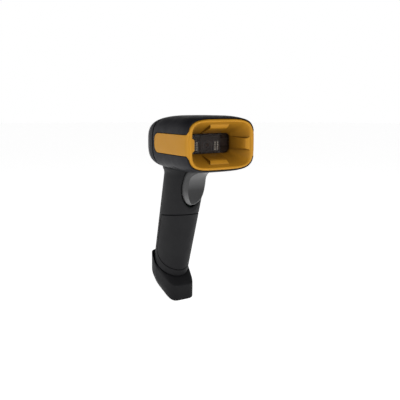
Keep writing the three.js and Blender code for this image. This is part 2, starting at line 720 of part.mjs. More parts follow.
// Flat ribbon following a path in Y and Z, extruded across X.
function ribbon(points, halfWidth, thickness = 0.3) {
  const curve = new THREE.CatmullRomCurve3(points.map(([y, z]) => new THREE.Vector3(y, z, 0)));
  const steps = 14;
  const upper = [];
  const lower = [];
  for (let k = 0; k <= steps; k += 1) {
    const middle = curve.getPoint(k / steps);
    const tangent = curve.getTangent(k / steps);
    const normal = new THREE.Vector3(-tangent.y, tangent.x, 0).multiplyScalar(thickness / 2);
    upper.push(middle.clone().add(normal));
    lower.push(middle.clone().sub(normal));
  }
  const shape = new THREE.Shape([...upper, ...lower.reverse()].map((p) => new THREE.Vector2(p.x, p.y)));
  const basis = new THREE.Matrix4().makeBasis(
    new THREE.Vector3(0, 1, 0),
    new THREE.Vector3(0, 0, 1),
    new THREE.Vector3(1, 0, 0),
  );
  basis.setPosition(-halfWidth, 0, 0);
  return extrude(shape, 2 * halfWidth, basis, 1);
}

function engineFlex() {
  const start = ENGINE.back + GAP + SENSOR_BOARD.thickness + 0.5;
  const end = MAIN_BOARD.bottom - 0.6;
  return ribbon([[start, -4], [start + 0.3, 3], [start + 3.5, 8], [start + 7, end]], 4);
}

// ---------------------------------------------------------------- electronics in the head
function mainBoard() {
  const { bottom, thickness, front, back, halfWidth } = MAIN_BOARD;
  const half = (back - front) / 2;
  const shape = roundedRectangle(halfWidth, half, 2);
  const place = new THREE.Matrix4().makeTranslation(0, front + half, bottom);
  return extrude(shape, thickness, place, 4);
}

function shieldCan() {
  const top = MAIN_BOARD.bottom + MAIN_BOARD.thickness + GAP;
  const place = new THREE.Matrix4().makeTranslation(SHIELD_CAN.x, SHIELD_CAN.y, top);
  return extrude(roundedRectangle(SHIELD_CAN.half, SHIELD_CAN.half, 1), SHIELD_CAN.height, place, 4);
}

function beeper() {
  const { x, y, radius, height, hole } = BEEPER;
  const top = MAIN_BOARD.bottom - GAP;
  const can = rod(radius, [x, y, top - height], [x, y, top], 16);
  return can.subtract(rod(hole, [x, y, top - height - 1], [x, y, top - height + hole], 8));
}

// ---------------------------------------------------------------- grip pieces
// The face sweeps forward to the nose, dips for the finger and rolls back at the lower end.
function triggerFront(along) {
  const up = Math.max(0, TRIGGER_FLARE.start - along);
  const { along: crest, height, spread } = TRIGGER_SWELL;
  const middle = height * Math.exp(-(((along - crest) / spread) ** 2));
  const tail = Math.max(0, along - TRIGGER_TAIL.start);
  return TRIGGER_FRONT + TRIGGER_FLARE.curve * up * up + middle - TRIGGER_TAIL.curve * tail * tail;
}

function triggerOutline(angle, margin, lowMargin = margin) {
  const down = Math.sin(angle) > 0;
  const reach = down ? TRIGGER_LOW + lowMargin : TRIGGER_HIGH + margin;
  const power = down ? TRIGGER_LOW_POWER : TRIGGER_HIGH_POWER;
  const [x, along] = superPoint(angle, TRIGGER_HALF_WIDTH + margin, reach, power);
  return [x, TRIGGER_CENTRE + along];
}

function triggerWell() {
  const at = (forward) => ring((angle) => {
    const [x, along] = triggerOutline(angle, 0.6, 1.3);
    return onGrip(x, forward, along);
  });
  return loft([at(9), at(40)]);
}

// A rod across the grip on the trigger's pivot.
function crossRod(radius, half) {
  return rod(
    radius,
    onGrip(-half, PIVOT.forward, PIVOT.along).toArray(),
    onGrip(half, PIVOT.forward, PIVOT.along).toArray(),
  );
}

function gripBody() {
  let body = gripSkin();
  body = body.subtract(gripBlockLoft(-WALL - PLUG_INSET, BAY_FLOOR));
  body = body.subtract(gripBlockLoft(-WALL, COLLAR_LINE - 8));
  body = body.subtract(doorPrism(GAP / 2));
  body = body.subtract(triggerWell());
  // Ears that carry the trigger's pin.
  const inside = gripBlockLoft(-WALL / 2, GRIP_END);
  [-1, 1].forEach((side) => {
    const near = side * (TRIGGER_HALF_WIDTH + PIN_EAR.gap);
    const far = side * PIN_EAR.reach;
    const ear = gripBlock(
      [Math.min(near, far), PIVOT.forward - PIN_EAR.back, PIVOT.along - PIN_EAR.half],
      [Math.max(near, far), PIVOT.forward + PIN_EAR.front, PIVOT.along + PIN_EAR.half],
    );
    body = body.add(ear.intersect(inside));
  });
  body = body.subtract(crossRod(PIN_RADIUS + GAP, PIN_HALF + GAP));
  [-1, 0, 1].forEach((side) => {
    const x = side * FLOOR_SCREWS.sideX;
    body = body.subtract(gripRod(SCREW_RADIUS + GAP, x, FLOOR_SCREWS.forward, BAY_FLOOR - 2, GRIP_END + 1));
  });
  return body.subtract(headBlock(HOUSING_FRONT - 4, HEAD_REAR, -GAP));
}

function batteryDoor() {
  const skin = gripBlockLoft(0, GRIP_END).subtract(gripBlockLoft(-WALL + 0.4, GRIP_END + 2));
  let body = skin.intersect(doorPrism(-GAP / 2));
  // Tongue that the door screw holds down, slotted towards the back.
  const { halfWidth, back, front, top, bottom } = DOOR_TONGUE;
  const tongue = gripBlock([-halfWidth, back, top], [halfWidth, front, bottom]);
  body = body.add(tongue.intersect(gripBlockLoft(-WALL / 2, GRIP_END)));
  const slot = SCREW_RADIUS + GAP;
  body = body.subtract(gripRod(slot, 0, FLOOR_SCREWS.forward, top - 1, bottom + 1));
  return body.subtract(gripBlock([-slot, 0, top - 1], [slot, FLOOR_SCREWS.forward, bottom + 1]));
}

function doorSeal() {
  const { outer, inner, behind, ahead, top, bottom } = DOOR_SEAL;
  const band = gripBlockLoft(-WALL - outer, GRIP_END).subtract(gripBlockLoft(-WALL - inner, GRIP_END + 2));
  return band.intersect(gripBlock([-30, DOOR_SIDE - behind, top], [30, DOOR_SIDE + ahead, bottom]))
    .intersect(gripBlock([0, -30, 0], [30, 30, 100]));
}

function batteryPack() {
  const shape = roundedRectangle(PACK.halfWidth, PACK.halfDepth, PACK.radius);
  const place = new THREE.Matrix4().makeBasis(ACROSS, FORWARD, DOWN.clone().negate());
  place.setPosition(onGrip(0, PACK.forward, PACK.low));
  return extrude(shape, PACK.length, place, 4);
}

function batteryContact(side) {
  const { halfWidth, back, front, top, low, sheet } = SPRING_CONTACT;
  const x = side * SPRING_CONTACT.x;
  const strip = gripBlock([x - halfWidth, back, low - sheet], [x + halfWidth, front, low]);
  const riser = gripBlock([x - halfWidth, front - sheet, top], [x + halfWidth, front, low - 0.1]);
  return strip.add(riser);
}

function gripBoard() {
  const { front, back, top, bottom, halfWidth } = GRIP_BOARD;
  const shape = roundedRectangle(halfWidth, (bottom - top) / 2, 1.5);
  const place = new THREE.Matrix4().makeBasis(ACROSS, DOWN.clone().negate(), FORWARD);
  place.setPosition(onGrip(0, back, (bottom + top) / 2));
  return extrude(shape, front - back, place, 4);
}

// Ribbon from the top of the grip's board up to the main board.
function gripFlex() {
  const start = onGrip(0, GRIP_BOARD.back - 0.7, 12);
  const points = [
    [start.y, start.z],
    [start.y + 0.5, start.z + 10],
    [52, -10],
    [53, 2],
    [55, 10.8],
  ];
  return ribbon(points, 5);
}

// ---------------------------------------------------------------- trigger set
function trigger() {
  const levels = [
    [0, () => TRIGGER_BACK],
    [0, (along) => triggerFront(along) - 3.2],
    [-0.5, (along) => triggerFront(along) - 1.6],
    [-1.6, (along) => triggerFront(along) - 0.5],
    [-2.8, (along) => triggerFront(along) - 0.1],
    [-4.6, (along) => triggerFront(along) - 0.3],
  ];
  let body = loft(levels.map(([margin, face]) => ring((angle) => {
    const [x, along] = triggerOutline(angle, margin);
    return onGrip(x, face(along), along);
  }, 28)));
  body = body.subtract(headBlock(HOUSING_FRONT - 4, HEAD_REAR, -0.7));
  body = body.add(switchPost());
  return body.subtract(crossRod(PIN_RADIUS + GAP, 20));
}

// A rod on the switch's line, standing forward of the grip axis.
function gripCrossRod(radius, back, front) {
  return rod(radius, onGrip(0, back, SWITCH.along).toArray(), onGrip(0, front, SWITCH.along).toArray());
}

// The post on the trigger's back that works the switch.
function switchPost() {
  return gripCrossRod(POST_RADIUS, SWITCH.tip + GAP, TRIGGER_BACK + 1);
}

function triggerPin() {
  return crossRod(PIN_RADIUS, PIN_HALF);
}

function triggerSwitch() {
  const { front, along, halfWidth, bore, bed } = SWITCH;
  const body = gripBlock(
    [-halfWidth, GRIP_BOARD.front + GAP, along - halfWidth],
    [halfWidth, front, along + halfWidth],
  );
  return body.subtract(gripCrossRod(bore, front - bed, front + 1));
}

function switchPlunger() {
  return gripCrossRod(PLUNGER.radius, SWITCH.front - PLUNGER.tail, SWITCH.tip);
}

function triggerSpring() {
  const start = GRIP_BOARD.front + SPRING.seat;
  const end = TRIGGER_BACK - SPRING.seat;
  const steps = 32;
  const points = [];
  for (let k = 0; k <= steps; k += 1) {
    const angle = (k / steps) * SPRING.turns * 2 * Math.PI;
    points.push(onGrip(
      SPRING.radius * Math.cos(angle),
      lerp(start, end, k / steps),
      SPRING.along + SPRING.radius * Math.sin(angle),
    ));
  }
  const path = new THREE.CatmullRomCurve3(points);
  const wire = new THREE.Shape();
  wire.absarc(0, 0, SPRING.wire, 0, 2 * Math.PI);
  const geometry = new THREE.ExtrudeGeometry(wire, {
    steps, extrudePath: path, curveSegments: 3, bevelEnabled: false,
  });
  return solid(geometry);
}

// ---------------------------------------------------------------- foot
function underside(y) {
  return TOE_Z + (y - TOE_Y) * Math.tan(FOOT_ANGLE);
}

function footPlan(angle, level, inset = 0) {
  const [across, back] = superPoint(angle, 1, 1, Math.sin(angle) < 0 ? TOE_POWER : HEEL_POWER);
  const half = (level.back - level.front) / 2 - inset;
  const halfWidth = lerp(level.toe, level.heel, clamp01((back + 1) / 1.1)) - inset;
  return [across * halfWidth, (level.back + level.front) / 2 + back * half];
}

function ridgeHeight(y) {
  const t = y - TOE_Y;
  return Math.min(SPUR_TOP, TOE_Z + RIDGE_RISE + RIDGE_CLIMB[0] * t + RIDGE_CLIMB[1] * t * t);
}

function foot() {
  const planRing = (level, height, inset = 0) => ring((angle) => {
    const [x, y] = footPlan(angle, level, inset);
    return new THREE.Vector3(x, y, height(y));
  });
  const ledge = ring((angle) => {
    const forward = -(gripHalfDepth(GRIP_END) + 0.6) * Math.sin(angle);
    const along = COLLAR_LINE + 0.5 + COLLAR_SLOPE * forward;
    return onGrip((gripHalfWidth(GRIP_END) + 0.6) * Math.cos(angle), forward, along);
  });
  const outer = loft([
    planRing(SOLE, (y) => underside(y), SOLE_CHAMFER),
    planRing(SOLE, (y) => underside(y) + SOLE_CHAMFER),
    planRing(FLANK, (y) => Math.min(underside(y) + TOE_FACE, ridgeHeight(y) - 2)),
    planRing(RIDGE, (y) => ridgeHeight(y)),
    ledge,
  ]);
  let body = outer.subtract(gripSkin(GAP));
  body = body.subtract(footPocket());
  [-1, 0, 1].forEach((side) => {
    const x = side * FLOOR_SCREWS.sideX;
    const { forward } = FLOOR_SCREWS;
    body = body.add(gripRod(BOSS_RADIUS, x, forward, GRIP_END + GAP, FOOT_BOSS + 9).intersect(outer));
    body = body.subtract(gripRod(SCREW_RADIUS + GAP, x, forward, GRIP_END - 1, 130));
    body = body.subtract(gripRod(SCREW_HEAD_RADIUS + GAP, x, forward, FOOT_BOSS, 130));
  });
  CONTACT_X.forEach((x) => {
    const halfWidth = CONTACT.halfWidth + GAP;
    const halfLength = CONTACT.halfLength + GAP;
    body = body.subtract(block(
      [x - halfWidth, CONTACT.y - halfLength, underside(CONTACT.y) - 4],
      [x + halfWidth, CONTACT.y + halfLength, underside(CONTACT.y) + 8],
    ));
  });
  return body;
}

// Hollow of the foot, open towards the grip.
function footPocket() {
  const slope = Math.tan(FOOT_ANGLE);
  const at = (angle, along) => {
    const x = FOOT_POCKET.halfWidth * Math.cos(angle);
    return onGrip(x, -FOOT_POCKET.halfDepth * Math.sin(angle), along);
  };
  const upper = ring((angle) => at(angle, GRIP_END - 1), 16);
  const lower = ring((angle) => {
    const start = at(angle, 0);
    const drop = start.z - underside(start.y) - FOOT_FLOOR;
    return at(angle, drop / (Math.cos(TILT) + slope * Math.sin(TILT)));
  }, 16);
  return loft([upper, lower]);
}

function chargeContact(x) {
  const bottom = underside(CONTACT.y - CONTACT.halfLength) + CONTACT.recess;
  return block(
    [x - CONTACT.halfWidth, CONTACT.y - CONTACT.halfLength, bottom],
    [x + CONTACT.halfWidth, CONTACT.y + CONTACT.halfLength, bottom + CONTACT.height],
  );
}

function chargeBoard() {
  const contactTop = underside(CONTACT.y - CONTACT.halfLength) + CONTACT.recess + CONTACT.height;
  const bottom = contactTop + GAP;
  const { halfWidth, front, back, thickness } = CHARGE_BOARD;
  return block([-halfWidth, CONTACT.y - front, bottom], [halfWidth, CONTACT.y + back, bottom + thickness]);
}

function floorScrew(side, tip) {
  const x = side * FLOOR_SCREWS.sideX;
  const head = FOOT_BOSS + SCREW_HEAD + GAP;
  const from = onGrip(x, FLOOR_SCREWS.forward, head);
  return screw(from.toArray(), DOWN.clone().negate().toArray(), head - tip);
}

// ---------------------------------------------------------------- assembly
const scanner = new THREE.Group();
scanner.position.set(0, -ORIGIN_Y, -underside(ORIGIN_Y));

function piece(name, body, material) {
  const { vertProperties, triVerts } = body.getMesh();
  const geometry = new THREE.BufferGeometry();
  geometry.setAttribute('position', new THREE.BufferAttribute(vertProperties, 3));
  geometry.setIndex(new THREE.BufferAttribute(triVerts, 1));
  geometry.computeVertexNormals();
  const mesh = new THREE.Mesh(geometry, material);
  mesh.name = name;
  scanner.add(mesh);
}

piece('head_housing', headHousing(), BLACK);
piece('rear_cap', rearCap(), BLACK);
piece('status_light', statusLight(), CLEAR);
piece('bezel', bezel(), YELLOW);
piece('window_seal', windowSeal(), RUBBER);
piece('window', windowPane(), DARK_GLASS);
piece('engine_chassis', engineChassis(), BLACK);
piece('lens_barrel', lensBarrel(), BLACK);
piece('lens_glass', lensGlass(), CLEAR);
piece('sensor_board', sensorBoard(), BOARD);
piece('engine_flex', engineFlex(), AMBER);
piece('main_board', mainBoard(), BOARD);
piece('shield_can', shieldCan(), STEEL);
piece('beeper', beeper(), BLACK);
[['left', -1], ['right', 1]].forEach(([name, side]) => {
  piece(`led_lens_${name}`, ledLens(side), CLEAR);
  piece(`engine_screw_${name}`, engineScrew(side), STEEL);
  piece(`door_seal_${name}`, side > 0 ? doorSeal() : doorSeal().mirror([1, 0, 0]), RUBBER);
  piece(`battery_contact_${name}`, batteryContact(side), GOLD);
  piece(`foot_screw_${name}`, floorScrew(side, GRIP_END - 4), STEEL);
});
CORNERS.forEach((corner, i) => piece(`cap_screw_${i + 1}`, capScrew(corner), STEEL));

piece('grip_body', gripBody(), BLACK_GRIP);
piece('grip_board', gripBoard(), BOARD);
piece('grip_flex', gripFlex(), AMBER);
piece('battery_door', batteryDoor(), BLACK_GRIP);
piece('battery_pack', batteryPack(), CELL);
piece('door_screw', floorScrew(0, DOOR_TONGUE.top + 0.4), STEEL);

piece('trigger', trigger(), GREY);
piece('trigger_pin', triggerPin(), STEEL);
piece('trigger_spring', triggerSpring(), STEEL);
piece('trigger_switch', triggerSwitch(), BLACK);
piece('switch_plunger', switchPlunger(), GREY);

piece('foot', foot(), BLACK_GRIP);
piece('charge_board', chargeBoard(), BOARD);
CONTACT_X.forEach((x, i) => piece(`charge_contact_${i + 1}`, chargeContact(x), GOLD));

export default scanner;
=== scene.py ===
"""Cordless hand-held barcode scanner: the visual model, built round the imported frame.

Shapes are laid out in millimetres from the middle of the nose's front plane (X across, Y towards the
back, Z up) and turned into metres in the part frame when a mesh is made.
"""

import json
import math

import bmesh
import bpy
import numpy as np
from mathutils import Matrix, Vector

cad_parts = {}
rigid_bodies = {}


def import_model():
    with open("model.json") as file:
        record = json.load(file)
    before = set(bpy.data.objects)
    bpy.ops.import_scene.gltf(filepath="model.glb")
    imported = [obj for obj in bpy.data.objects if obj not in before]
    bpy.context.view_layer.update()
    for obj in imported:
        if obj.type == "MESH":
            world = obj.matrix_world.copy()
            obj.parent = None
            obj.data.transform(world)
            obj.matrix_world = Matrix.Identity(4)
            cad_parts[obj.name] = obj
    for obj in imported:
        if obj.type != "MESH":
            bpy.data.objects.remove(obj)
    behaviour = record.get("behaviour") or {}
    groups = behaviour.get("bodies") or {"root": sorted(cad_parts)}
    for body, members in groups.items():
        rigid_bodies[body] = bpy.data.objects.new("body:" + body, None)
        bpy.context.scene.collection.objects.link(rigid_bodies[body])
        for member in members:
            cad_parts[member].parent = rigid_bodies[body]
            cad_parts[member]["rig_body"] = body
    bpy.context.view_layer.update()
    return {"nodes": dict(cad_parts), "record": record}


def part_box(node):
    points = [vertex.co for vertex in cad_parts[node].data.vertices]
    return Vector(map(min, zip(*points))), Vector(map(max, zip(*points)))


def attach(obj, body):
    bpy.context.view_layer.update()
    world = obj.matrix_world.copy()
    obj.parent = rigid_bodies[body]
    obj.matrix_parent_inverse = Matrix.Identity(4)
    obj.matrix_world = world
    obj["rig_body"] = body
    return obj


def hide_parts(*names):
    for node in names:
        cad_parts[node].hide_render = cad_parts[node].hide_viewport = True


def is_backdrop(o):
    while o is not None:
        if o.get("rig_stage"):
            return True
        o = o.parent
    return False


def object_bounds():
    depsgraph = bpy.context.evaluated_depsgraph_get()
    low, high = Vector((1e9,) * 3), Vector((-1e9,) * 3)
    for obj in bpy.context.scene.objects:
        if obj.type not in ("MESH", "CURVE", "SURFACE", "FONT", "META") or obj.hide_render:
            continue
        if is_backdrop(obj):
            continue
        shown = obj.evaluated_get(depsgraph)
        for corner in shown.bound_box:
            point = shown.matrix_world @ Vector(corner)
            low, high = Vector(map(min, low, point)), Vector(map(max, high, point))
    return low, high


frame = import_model()

MM = 1000.0
SLOTS = {part["node"]: part["material_slot"] for part in frame["record"]["subparts"]}


def box_mm(node):
    low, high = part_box(node)
    return np.array(low) * MM, np.array(high) * MM


NOSE_FRONT = -2.6                    # the bezel's front plane lies this far ahead of the layout's origin
bezel_low, bezel_high = box_mm("bezel")
NOSE = np.array([0.0, bezel_low[1] - NOSE_FRONT, (bezel_low[2] + bezel_high[2]) / 2])


def local_box(node):
    """A CAD node's corners in millimetres from the nose."""
    low, high = box_mm(node)
    return low - NOSE, high - NOSE


def middle_of(node):
    low, high = local_box(node)
    return (low + high) / 2


def half_size(node):
    low, high = local_box(node)
    return (high - low) / 2


# ---------------------------------------------------------------- driving dimensions
GAP = 0.3
WALL = 2.2
AROUND = 208                         # points round a skin
SCREW_WAY = 1.5                      # radius of the hole a screw's shank runs in
BOSS_RADIUS = 3.4

HEAD_HALF_WIDTH = 32.4
HEAD_BACK_HALF_WIDTH = 31.5
HEAD_POWER = (4.1, 3.4)              # squareness of the head at the nose and at the rear
NOSE_HALF_HEIGHT = 20.8
NOSE_PINCH = 0.9
HEAD_TOP = 22.3
HEAD_BOTTOM = 22.9
NOSE_SWELL = 16.0
HOUSING_FRONT = -1.5
CAP_SEAM = 55.0
HEAD_REAR = 82.0
WIDTH_ROUND = (53.0, 2.6)            # start and power of each fall towards the rear
CROWN_ROUND = (31.0, 3.0)
KEEL_ROUND = (44.0, 2.9)
SEAM_ROUND = 0.7
SEAM_LAND = 0.5                      # flat floor of the groove on each side of the seam

BEZEL_HALF_WIDTH = 30.6
BEZEL_HALF_HEIGHT = 19.85
BEZEL_POWER = 4.1
MOUTH_HALF_WIDTH = 27.3
MOUTH_HALF_HEIGHT = 17.6
MOUTH_POWER = 5.2
MOUTH_Y = -2.2
LIP_BACK = -1.0
BEZEL_DEPTH = 4.0
WINDOW_HALF_WIDTH = 19.2
WINDOW_HALF_HEIGHT = 8.05
WINDOW_POWER = 7.0
HORN_DEPTH = 16.8
HORN_SILL = 0.9                      # straight end of the horn round the window
HORN_WALL = 1.6
PAD_RISE = 2.3
SIDE_PAD = (-1.6, 5.4)               # front end and half-width
TOP_PAD = (1.4, 9.2)
ARM_HALF_HEIGHT = 8.0
ARM_END = 52.0
ARM_THICKNESS = 1.6
ARM_FILLET = 2.4

ENGINE_HALF_WIDTH = 13.4
ENGINE_NOSE_HALF_WIDTH = 6
EAR_FRONT = 24.9
EAR_THICKNESS = 1.6

TILT = math.radians(17)
FORWARD = np.array([0, -math.cos(TILT), -math.sin(TILT)])
AXIS_Y = 52.9
AXIS_Z = -20.0
GRIP_END = 102.0
GRIP_HALF_WIDTH = (17.4, 15.1)       # at the head and at the lower end
GRIP_HALF_DEPTH = (20.4, 18.6)
PLUG_INSET = 1.8
COLLAR_LINE = 98.0
FLOOR_SCREWS = ("foot_screw_left", "foot_screw_right", "door_screw")
FLOOR_SCREW_FORWARD = 8.0            # forward of the grip axis
FLOOR_SCREW_HEAD = 112.9             # along it
COLLAR_SLOPE = 0.245
DOOR_TOP = 47.2
DOOR_TOP_SLOPE = 0.43
DOOR_SIDE = -3.0
DOOR_BOTTOM = 96.3

TRIGGER_HALF_WIDTH = 10.2
TRIGGER_CENTRE = 13.0
TRIGGER_REACH = (24.0, 18.4)         # upwards, hidden by the head, and downwards
TRIGGER_POWER = (2.2, 1.88)
TRIGGER_BACK = 10.4
TRIGGER_FRONT = 21.0

FOOT_TILT = math.radians(20)
TOE_Y = 58.0
TOE_Z = -144.9
SPUR_TOP = -104.0
CONTACT_Y = 87.5

CELL_HALF_WIDTH = 10.4
CELL_HALF_DEPTH = 12.6
CELL_END = 89.6                      # along the grip
CELL_LENGTH = 43.0


# ---------------------------------------------------------------- small numeric helpers
def lerp(a, b, t):
    return a + (b - a) * t


def clamp01(t):
    return np.clip(t, 0.0, 1.0)


def round_off(t, power):
    return (1 - clamp01(t) ** power) ** (1 / power)


def super_point(angle, half_width, half_height, power):
    across, up = np.cos(angle), np.sin(angle)
    return (
        half_width * np.sign(across) * np.abs(across) ** (2 / power),
        half_height * np.sign(up) * np.abs(up) ** (2 / power),
    )


def even_angles(count, half_width, half_height, power):
    """Angles that space points evenly along a superellipse."""
    dense = np.linspace(0, 2 * math.pi, 20001)
    x, z = super_point(dense, half_width, half_height, power)
    run = np.concatenate([[0], np.cumsum(np.hypot(np.diff(x), np.diff(z)))])
    return np.interp(np.linspace(0, run[-1], count, endpoint=False), run, dense)


def resample(points, count):
    run = np.concatenate([[0], np.cumsum(np.linalg.norm(np.diff(points, axis=0), axis=1))])
    at = np.linspace(0, run[-1], count)
    return np.stack([np.interp(at, run, points[:, k]) for k in range(points.shape[1])], 1)


def grown(outline, margin):
    """A closed outline moved outwards along its own normals."""
    if abs(margin) < 1e-9:
        return outline
    along = np.roll(outline, -1, 0) - np.roll(outline, 1, 0)
    normal = np.stack([along[:, 1], -along[:, 0]], 1)
    normal /= np.linalg.norm(normal, axis=1, keepdims=True)
    area = np.sum(outline[:, 0] * np.roll(outline[:, 1], -1) - np.roll(outline[:, 0], -1) * outline[:, 1])
    return outline + normal * (margin if area > 0 else -margin)


def bezier(p0, p1, p2, p3, count=40):
    t = np.linspace(0, 1, count)[:, None]
    p0, p1, p2, p3 = (np.array(p, float) for p in (p0, p1, p2, p3))
    return (1 - t) ** 3 * p0 + 3 * (1 - t) ** 2 * t * p1 + 3 * (1 - t) * t ** 2 * p2 + t ** 3 * p3


def two_halves(upper, lower, count):
    """A closed outline from an upper run and a lower run that both go from one end to the other."""
    upper, lower = resample(upper, count), resample(lower, count)
    return np.concatenate([upper, lower[::-1][1:-1]])


def rounded_rectangle(half_width, half_height, radius, count=60):
    """Outline from the middle of the left side over the top to the right, and back below."""
    turn = np.linspace(0, math.pi / 2, 12)
    w, h = half_width - radius, half_height - radius
    left = np.stack([-w - radius * np.cos(turn), h + radius * np.sin(turn)], 1)
    right = np.stack([w + radius * np.sin(turn), h + radius * np.cos(turn)], 1)
    upper = np.concatenate([[[-half_width, 0]], left, right, [[half_width, 0]]])
    return two_halves(upper, upper * [1, -1], count)


# ---------------------------------------------------------------- mesh tools
def mesh_object(name, points, faces):
    mesh = bpy.data.meshes.new(name)
    mesh.from_pydata(((points + NOSE) / MM).tolist(), [], faces)
    obj = bpy.data.objects.new(name, mesh)
    bpy.context.scene.collection.objects.link(obj)
    bm = bmesh.new()
    bm.from_mesh(mesh)
    bmesh.ops.remove_doubles(bm, verts=bm.verts, dist=2e-6)
    bmesh.ops.dissolve_degenerate(bm, edges=bm.edges, dist=1e-7)
    bmesh.ops.recalc_face_normals(bm, faces=bm.faces)
    bm.to_mesh(mesh)
    bm.free()
    return obj


def strip_faces(rows, columns, wrap_rows=False, wrap_columns=True, start=0):
    faces = []
    for k in range(rows if wrap_rows else rows - 1):
        below = start + k * columns
        above = start + (k + 1) % rows * columns
        for i in range(columns if wrap_columns else columns - 1):
            j = (i + 1) % columns
            faces.append((below + i, below + j, above + j, above + i))
    return faces


def loft(name, rings, tube=False):
    """Rings joined in order. A tube joins its last ring to its first; otherwise both ends are closed."""
    rings = np.asarray(rings, float)
    rows, columns = rings.shape[:2]
    points = rings.reshape(-1, 3)
    faces = strip_faces(rows, columns, wrap_rows=tube)
    if not tube:
        points = np.concatenate([points, rings[[0, -1]].mean(1)])
        for i in range(columns):
            j = (i + 1) % columns
            faces.append((len(points) - 2, j, i))
            faces.append((len(points) - 1, (rows - 1) * columns + i, (rows - 1) * columns + j))
    return mesh_object(name, points, faces)


def heart(outline):
    """The middle line that a plate's inner loops shrink to, one point for each point of its outline.
    The outline's first half runs over the top from end to end, and its second half back below."""
    half = len(outline) // 2 + 1
    upper = outline[:half]
    lower = np.concatenate([outline[:1], outline[half - 1:][::-1]])
    wide, tall = np.ptp(outline, axis=0)
    end = min(round((half - 1) * tall / (tall + wide)), (half - 1) // 2)
    core = ((upper + lower) / 2)[np.clip(np.arange(half), end, half - 1 - end)]
    return np.concatenate([core, core[1:-1][::-1]])


def slab(name, outline, surface, levels, rows=8):
    """A closed plate on a surface: levels are (margin, rise) from its underside round the rim to its face."""
    core = heart(outline)
    inwards = np.linspace(0, 1, rows + 1)[1:]
    (low_margin, low), (top_margin, top) = levels[0], levels[-1]
    rings = [surface(lerp(grown(outline, low_margin), core, k), low) for k in inwards[::-1]]
    rings += [surface(grown(outline, margin), rise) for margin, rise in levels]
    rings += [surface(lerp(grown(outline, top_margin), core, k), top) for k in inwards]
    return mesh_object(name, np.concatenate(rings), strip_faces(len(rings), len(outline)))


def turned(name, profile, centre, direction, segments=48, tube=False):
    """A profile of (radius, height) turned round a direction."""
    axis = Vector(direction).normalized()
    side = axis.orthogonal().normalized()
    other = axis.cross(side)
    angle = np.linspace(0, 2 * math.pi, segments, endpoint=False)[:, None]
    spoke = np.cos(angle) * np.array(side) + np.sin(angle) * np.array(other)
    centre, axis = np.array(centre), np.array(axis)
    rings = [centre + spoke * max(radius, 1e-4) + axis * height for radius, height in profile]
    return loft(name, rings, tube)


def rod(name, radius, start, end, segments=40):
    start, end = np.array(start, float), np.array(end, float)
    length = float(np.linalg.norm(end - start))
    return turned(name, [(radius, 0), (radius, length)], start, end - start, segments)


def frozen(obj):
    """Replaces an object's mesh by the one its modifiers give."""
    graph = bpy.context.evaluated_depsgraph_get()
    mesh = bpy.data.meshes.new_from_object(obj.evaluated_get(graph))
    obj.modifiers.clear()
    obj.data = mesh
    return obj


def twin(obj):
    copy = bpy.data.objects.new(obj.name, obj.data.copy())
    bpy.context.scene.collection.objects.link(copy)
    return copy


def combine(obj, others, operation="DIFFERENCE"):
    for other in others:
        modifier = obj.modifiers.new("combine", "BOOLEAN")
        modifier.operation = operation
        modifier.solver = "MANIFOLD"
        modifier.object = other
        frozen(obj)
        bpy.data.objects.remove(other)
    return obj


def plane(origin, u, v):
    """A flat surface for slab: origin, two directions in the plane, and rise along u x v."""
    origin, u, v = (np.array(p, float) for p in (origin, u, v))
    out = np.cross(u, v)
    return lambda uv, rise: origin + uv[:, :1] * u + uv[:, 1:] * v + out * rise


def plate(name, outline, surface, thickness, rounding=0.25, rows=8):
    """A flat slab from rise 0 to its thickness, with both rims rounded."""
    r = rounding
    rim = [(-r, 0), (-0.3 * r, 0.3 * r), (0, r)]
    rim += [(margin, thickness - rise) for margin, rise in rim[::-1]]
    return slab(name, outline, surface, rim, rows)


